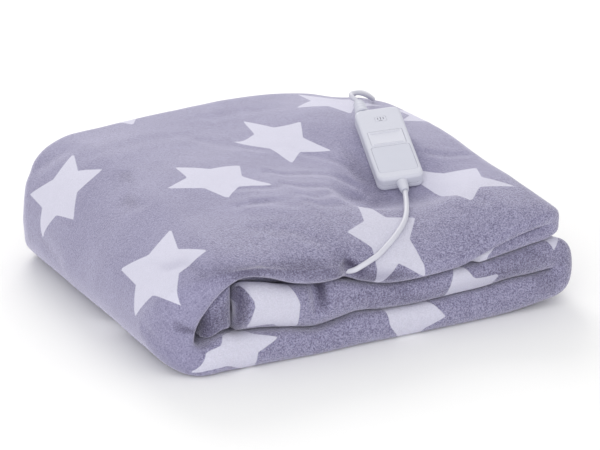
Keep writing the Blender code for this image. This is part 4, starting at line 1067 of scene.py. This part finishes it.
LEAD_DIAMETER, MAINS_DIAMETER = mm(5.6, 5.2)
LEAD_ROUTE = (                                # over the top layer's front and into it, in the bundle's frame
    (304.8, 98.5, 111.6), (300.2, 89.0, 110.9), (294.5, 78.5, 111.2), (288.5, 67.5, 111.5),
    (282.4, 57.0, 110.9), (271.4, 42.3, 107.7), (263.1, 34.2, 105.3), (255.1, 27.4, 103.0),
    (247.0, 21.3, 100.6), (239.3, 16.6, 98.2), (231.3, 12.0, 95.5), (223.2, 8.0, 92.7),
    (215.2, 5.3, 90.8), (207.3, 2.9, 88.9), (200.0, 2.6, 86.2), (194.9, 4.4, 83.2), (190.8, 8.2, 81.2),
    (187.0, 13.5, 80.6), (183.5, 20.0, 80.6))
MAINS_ROUTE = (                               # in an arch over the back edge and down to the coil
    (336.0, 262.0, 161.3), (334.0, 268.6, 163.6), (336.0, 274.8, 164.4), (344.0, 281.4, 162.8),
    (355.1, 289.2, 158.8), (367.5, 298.2, 152.2), (379.7, 310.0, 143.8), (390.5, 324.0, 136.2),
    (397.5, 339.0, 132.0), (401.0, 354.0, 130.6), (402.8, 368.0, 128.8), (403.6, 382.0, 125.0),
    (404.2, 395.0, 118.0), (404.6, 405.5, 106.0), (404.8, 410.5, 91.0), (404.6, 411.5, 74.0),
    (404.2, 412.0, 57.0), (403.6, 413.0, 40.0), (402.4, 415.5, 23.5), (401.6, 422.0, 10.8),
    (401.3, 432.0, 5.2), (401.4, 446.0, 4.3))
TAIL_ROUTE = ((352.0, 488.5, 9.3), (342.0, 488.6, 8.3), (332.9, 488.6, 7.6))
COIL_CENTRE = (361.5, 448.0)
COIL_ROW_HEIGHTS = (4.25, 9.75, 15.25)
COIL_TURNS = (                                # radius and row of each turn, in the order they are laid
    (34.5, 0), (29.0, 0), (23.5, 0), (23.5, 1), (23.5, 2), (29.0, 2), (29.0, 1), (34.5, 1), (34.5, 2))
COIL_ENTRY, COIL_LEAVE_RADIUS, COIL_LEAVE_HEIGHT = 39.9, 40.1, 9.7
POINTS_A_TURN = 40
TURN_CHANGE, LEAVE_TURN, ENTRY_TURN = (330, 30), (10, 80), 60        # in degrees: from, and over


def sleeve_tip(placed, sizes, side):
    """Where a cord leaves the tip of its sleeve."""
    offset, level, length, *_ = sizes
    return placed @ Vector((offset, side * (CONTROLLER_SIZE[1] / 2 + SLEEVE_GAP + length + CORD_GAP), level))


def coil_points():
    """The cord's line through all turns of the coil, from its foot to the start of its tail."""
    rows = []
    for turn_number, (radius, row) in enumerate(COIL_TURNS):
        height = COIL_ROW_HEIGHTS[row]
        last = turn_number == len(COIL_TURNS) - 1
        next_radius, next_row = (radius, row) if last else COIL_TURNS[turn_number + 1]
        for step in range(POINTS_A_TURN):
            degrees = 360 * step / POINTS_A_TURN
            change = float(rise(degrees, *TURN_CHANGE))
            along = radius + (next_radius - radius) * change
            up = height + (COIL_ROW_HEIGHTS[next_row] - height) * change
            if turn_number == 0:
                entering = 1 - float(smooth_step(degrees / ENTRY_TURN))
                along += (COIL_ENTRY - radius) * entering
            rows.append((degrees, along, up))
    radius, row = COIL_TURNS[-1]
    for degrees in range(0, 91, 9):
        out = math.pi / 2 * float(rise(degrees, *LEAVE_TURN))
        rows.append((degrees, radius + (COIL_LEAVE_RADIUS - radius) * math.sin(out),
                     COIL_LEAVE_HEIGHT + (COIL_ROW_HEIGHTS[row] - COIL_LEAVE_HEIGHT) * math.cos(out)))
    return [in_bundle((COIL_CENTRE[0] + along * math.cos(math.radians(degrees)),
                       COIL_CENTRE[1] + along * math.sin(math.radians(degrees)), up))
            for degrees, along, up in rows]


def make_cord(name, points, diameter, material):
    data = bpy.data.curves.new(name, "CURVE")
    data.dimensions = "3D"
    data.bevel_depth = diameter / 2
    data.bevel_resolution = 5
    data.use_fill_caps = True
    data.resolution_u = 3
    spline = data.splines.new("NURBS")
    spline.points.add(len(points) - 1)
    for place, point in zip(spline.points, points):
        place.co = (*point, 1)
    spline.order_u = 3
    spline.use_endpoint_u = True
    data.materials.append(material)
    return add_object(name, data)


def line_length(points):
    return float(sum((second - first).length for first, second in zip(points, points[1:])))


def routed(points, spacing, *first):
    """A cord's line through a route in the bundle's frame, from the first place if one is given."""
    route = [*first, *(in_bundle(point) for point in points)]
    return [Vector(point) for point in smooth_route(route, spacing)]


def make_leads(material, placed):
    """The two cords, each with its exit and length."""
    cords = []
    lead_exit = sleeve_tip(placed, LEAD_SLEEVE, -1)
    mains_exit = sleeve_tip(placed, MAINS_SLEEVE, 1)
    mains = routed(MAINS_ROUTE, 6 * MM, mains_exit) + coil_points() + routed(TAIL_ROUTE, 6 * MM)
    for name, leaves, points, diameter in (
            ("lead_cord", lead_exit, routed(LEAD_ROUTE, 5 * MM, lead_exit), LEAD_DIAMETER),
            ("mains_cord", mains_exit, mains, MAINS_DIAMETER)):
        cords += [make_cord(name, points, diameter, material), leaves, line_length(points)]
    return cords


TIE_ANGLE, TIE_CUT = 205, 0.15 * MM
TIE_WIDTH, TIE_THICKNESS, TIE_CORNER = mm(8, 1, 2.4)
TIE_GAP, TIE_INNER_GAP = mm(0.4, 0.8)
TONGUE_SIZE = (0.92 * TIE_WIDTH, 11 * MM)
TONGUE_CORNER, TONGUE_THICKNESS, TONGUE_EDGE, TONGUE_DROP = mm(2.2, 1, 0.3, 1)
COIL_INNER, COIL_OUTER, COIL_LOW, COIL_HIGH = mm(20.75, 37.25, 1.5, 18)


def make_strap(material):
    """The tie around the coil: a flat band with a tongue that overlaps on its outer side."""
    low_x, high_x = COIL_INNER - TIE_INNER_GAP, COIL_OUTER + TIE_GAP
    low_z, high_z = COIL_LOW - TIE_GAP, COIL_HIGH + TIE_GAP
    size = (high_x - low_x, high_z - low_z)
    centre = ((high_x + low_x) / 2, (high_z + low_z) / 2)
    half = TIE_WIDTH / 2
    rings = []
    for grow, y in ((0, -half), (0, half), (TIE_THICKNESS - TIE_CUT, half), (TIE_THICKNESS, half - TIE_CUT),
                    (TIE_THICKNESS, -half + TIE_CUT), (TIE_THICKNESS - TIE_CUT, -half)):
        ring = rounded_ring((size[0] + 2 * grow, size[1] + 2 * grow), TIE_CORNER + grow, 0, centre)
        rings.append([(x, y, z) for x, z, _ in ring])
    rings.append(rings[0])
    lying, faces = loft(edge_rings(TONGUE_SIZE, TONGUE_CORNER, (0, TONGUE_THICKNESS), TONGUE_EDGE, 3))
    tongue = [(high_x + TIE_THICKNESS + z - TONGUE_EDGE, x, y + centre[1] - TONGUE_DROP) for x, y, z in lying]
    placed = Matrix.Translation(in_bundle((*COIL_CENTRE, 0))) \
        @ Matrix.Rotation(math.radians(TIE_ANGLE), 4, "Z")
    skin = joined(loft(rings, False, False), (tongue, faces))
    return new_piece("coil_strap", skin, material, placed)


PLUG_SIZE, PLUG_NECK, PLUG_TIP = mm(35, 36, 13.6), (0.46, 0.80), (332.5, 488.6, 7.5)
PLUG_SLEEVE, PLUG_DISH = mm(21, 5, 3.7), 0.9 * MM
PLUG_STEPS, PLUG_CORNER_STEPS, PLUG_TAPER, PLUG_CORNER, PLUG_END = 24, 10, 0.75, 0.30, 2.5 * MM
END_WIDTH, END_THICKNESS = (0.88, 0.12), (0.70, 0.30)        # shares at the very end, and what they lack
DISH_PLACE, DISH_LENGTH, DISH_WIDTH = 0.62, 0.16, 0.36       # in lengths and widths of the plug


def make_plug(plastic):
    """A flat moulded plug that narrows towards its cord, with a finger groove on each broad side."""
    width, length, thick = PLUG_SIZE
    rings = []
    for step in range(PLUG_STEPS + 1):
        along = step / PLUG_STEPS
        share = float(smooth_step(1 - along / PLUG_TAPER))
        edge = min(along, 1 - along) * length
        round_end = math.sqrt(max(0.0, 1 - (1 - min(edge / PLUG_END, 1)) ** 2))
        narrow = (1 - (1 - PLUG_NECK[0]) * share) * (END_WIDTH[0] + END_WIDTH[1] * round_end)
        thin = (1 - (1 - PLUG_NECK[1]) * share) * (END_THICKNESS[0] + END_THICKNESS[1] * round_end)
        wide_x, wide_z = width * narrow, thick * thin
        dish = PLUG_DISH * math.exp(-((along - DISH_PLACE) / DISH_LENGTH) ** 2)
        ring = []
        for x, z, _ in rounded_ring((wide_x, wide_z), wide_z * PLUG_CORNER, 0, steps=PLUG_CORNER_STEPS):
            inward = dish * max(0.0, 1 - (x / (wide_x * DISH_WIDTH)) ** 2)
            ring.append((x, PLUG_SLEEVE[0] + 2 * SLEEVE_GAP + along * length, z - math.copysign(inward, z)))
        rings.append(ring)
    lying = Matrix.Translation(in_bundle(PLUG_TIP)) @ Matrix.Rotation(math.radians(90), 4, "Z")
    body = new_piece("plug_shell", loft(rings), plastic, lying)
    facing = lying @ Matrix.Translation((0, PLUG_SLEEVE[0] + SLEEVE_GAP, 0)) \
        @ Matrix.Rotation(math.radians(90), 4, "X")
    return body, new_piece("plug_cord_sleeve", sleeve_skin(*PLUG_SLEEVE, 4, 0.7 * MM), plastic, facing)


def repaint(node, material):
    """Give a carried-over solid its own finish."""
    for slot in node.material_slots:
        slot.link = "OBJECT"
        slot.material = material
    if not node.material_slots:
        node.data.materials.append(material)


def set_piece(piece, slot, *nodes, body="root"):
    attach(piece, body)
    if nodes:
        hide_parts(*nodes)
    return piece


def main():
    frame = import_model()
    nodes = frame["nodes"]
    place_camera()
    place_lights()
    place_floor()
    placed = controller_matrix()
    grain = plastic_group()
    finish = {name: plastic_material(name, grain) for name in FINISHES}
    shell = finish["controller_white"]

    lead, lead_exit, lead_length, mains, mains_exit, mains_length = make_leads(finish["cord_white"], placed)
    set_piece(lead, "white_cord", "blanket_lead")
    set_piece(mains, "white_cord", "mains_lead", "mains_coil", "mains_tail")
    lead_sleeve = make_sleeve("lead_sleeve", LEAD_SLEEVE, -1, shell, placed)
    mains_sleeve = make_sleeve("mains_sleeve", MAINS_SLEEVE, 1, shell, placed, 4, 0.5 * MM)
    strap = set_piece(make_strap(finish["strap_white"]), "white_strap", "coil_tie")
    plug, plug_sleeve = make_plug(shell)
    pins = [nodes["plug_pin_left"], nodes["plug_pin_right"]]
    pin_finish = metal_material(grain)
    for pin in pins:
        repaint(pin, pin_finish)
    base, cover, joint = make_controller_shells(shell, finish["controller_joint_shade"], placed)
    panel, field, marks = make_face_details(finish["controller_panel_white"], finish["indicator_grey"],
                                            finish["indicator_mark_grey"], placed)
    for piece, node in ((lead_sleeve, "lead_relief"), (mains_sleeve, "mains_relief"), (plug, "plug_body"),
                        (plug_sleeve, "plug_sleeve"), (base, "controller_base"),
                        (cover, "controller_cover"), (panel, "face_panel")):
        set_piece(piece, "white_plastic", node)
    set_piece(joint, "white_plastic")
    set_piece(field, "grey_window", "indicator_window")
    set_piece(marks, "grey_window")
    # the button in its lighter plastic, which paints the highlight on its ridges
    set_piece(make_button(finish["controller_button_highlight_white"], placed), "white_plastic", "press_button",
              body="button")
    blanket = set_piece(make_blanket(), "lavender_fleece", "blanket")


main()
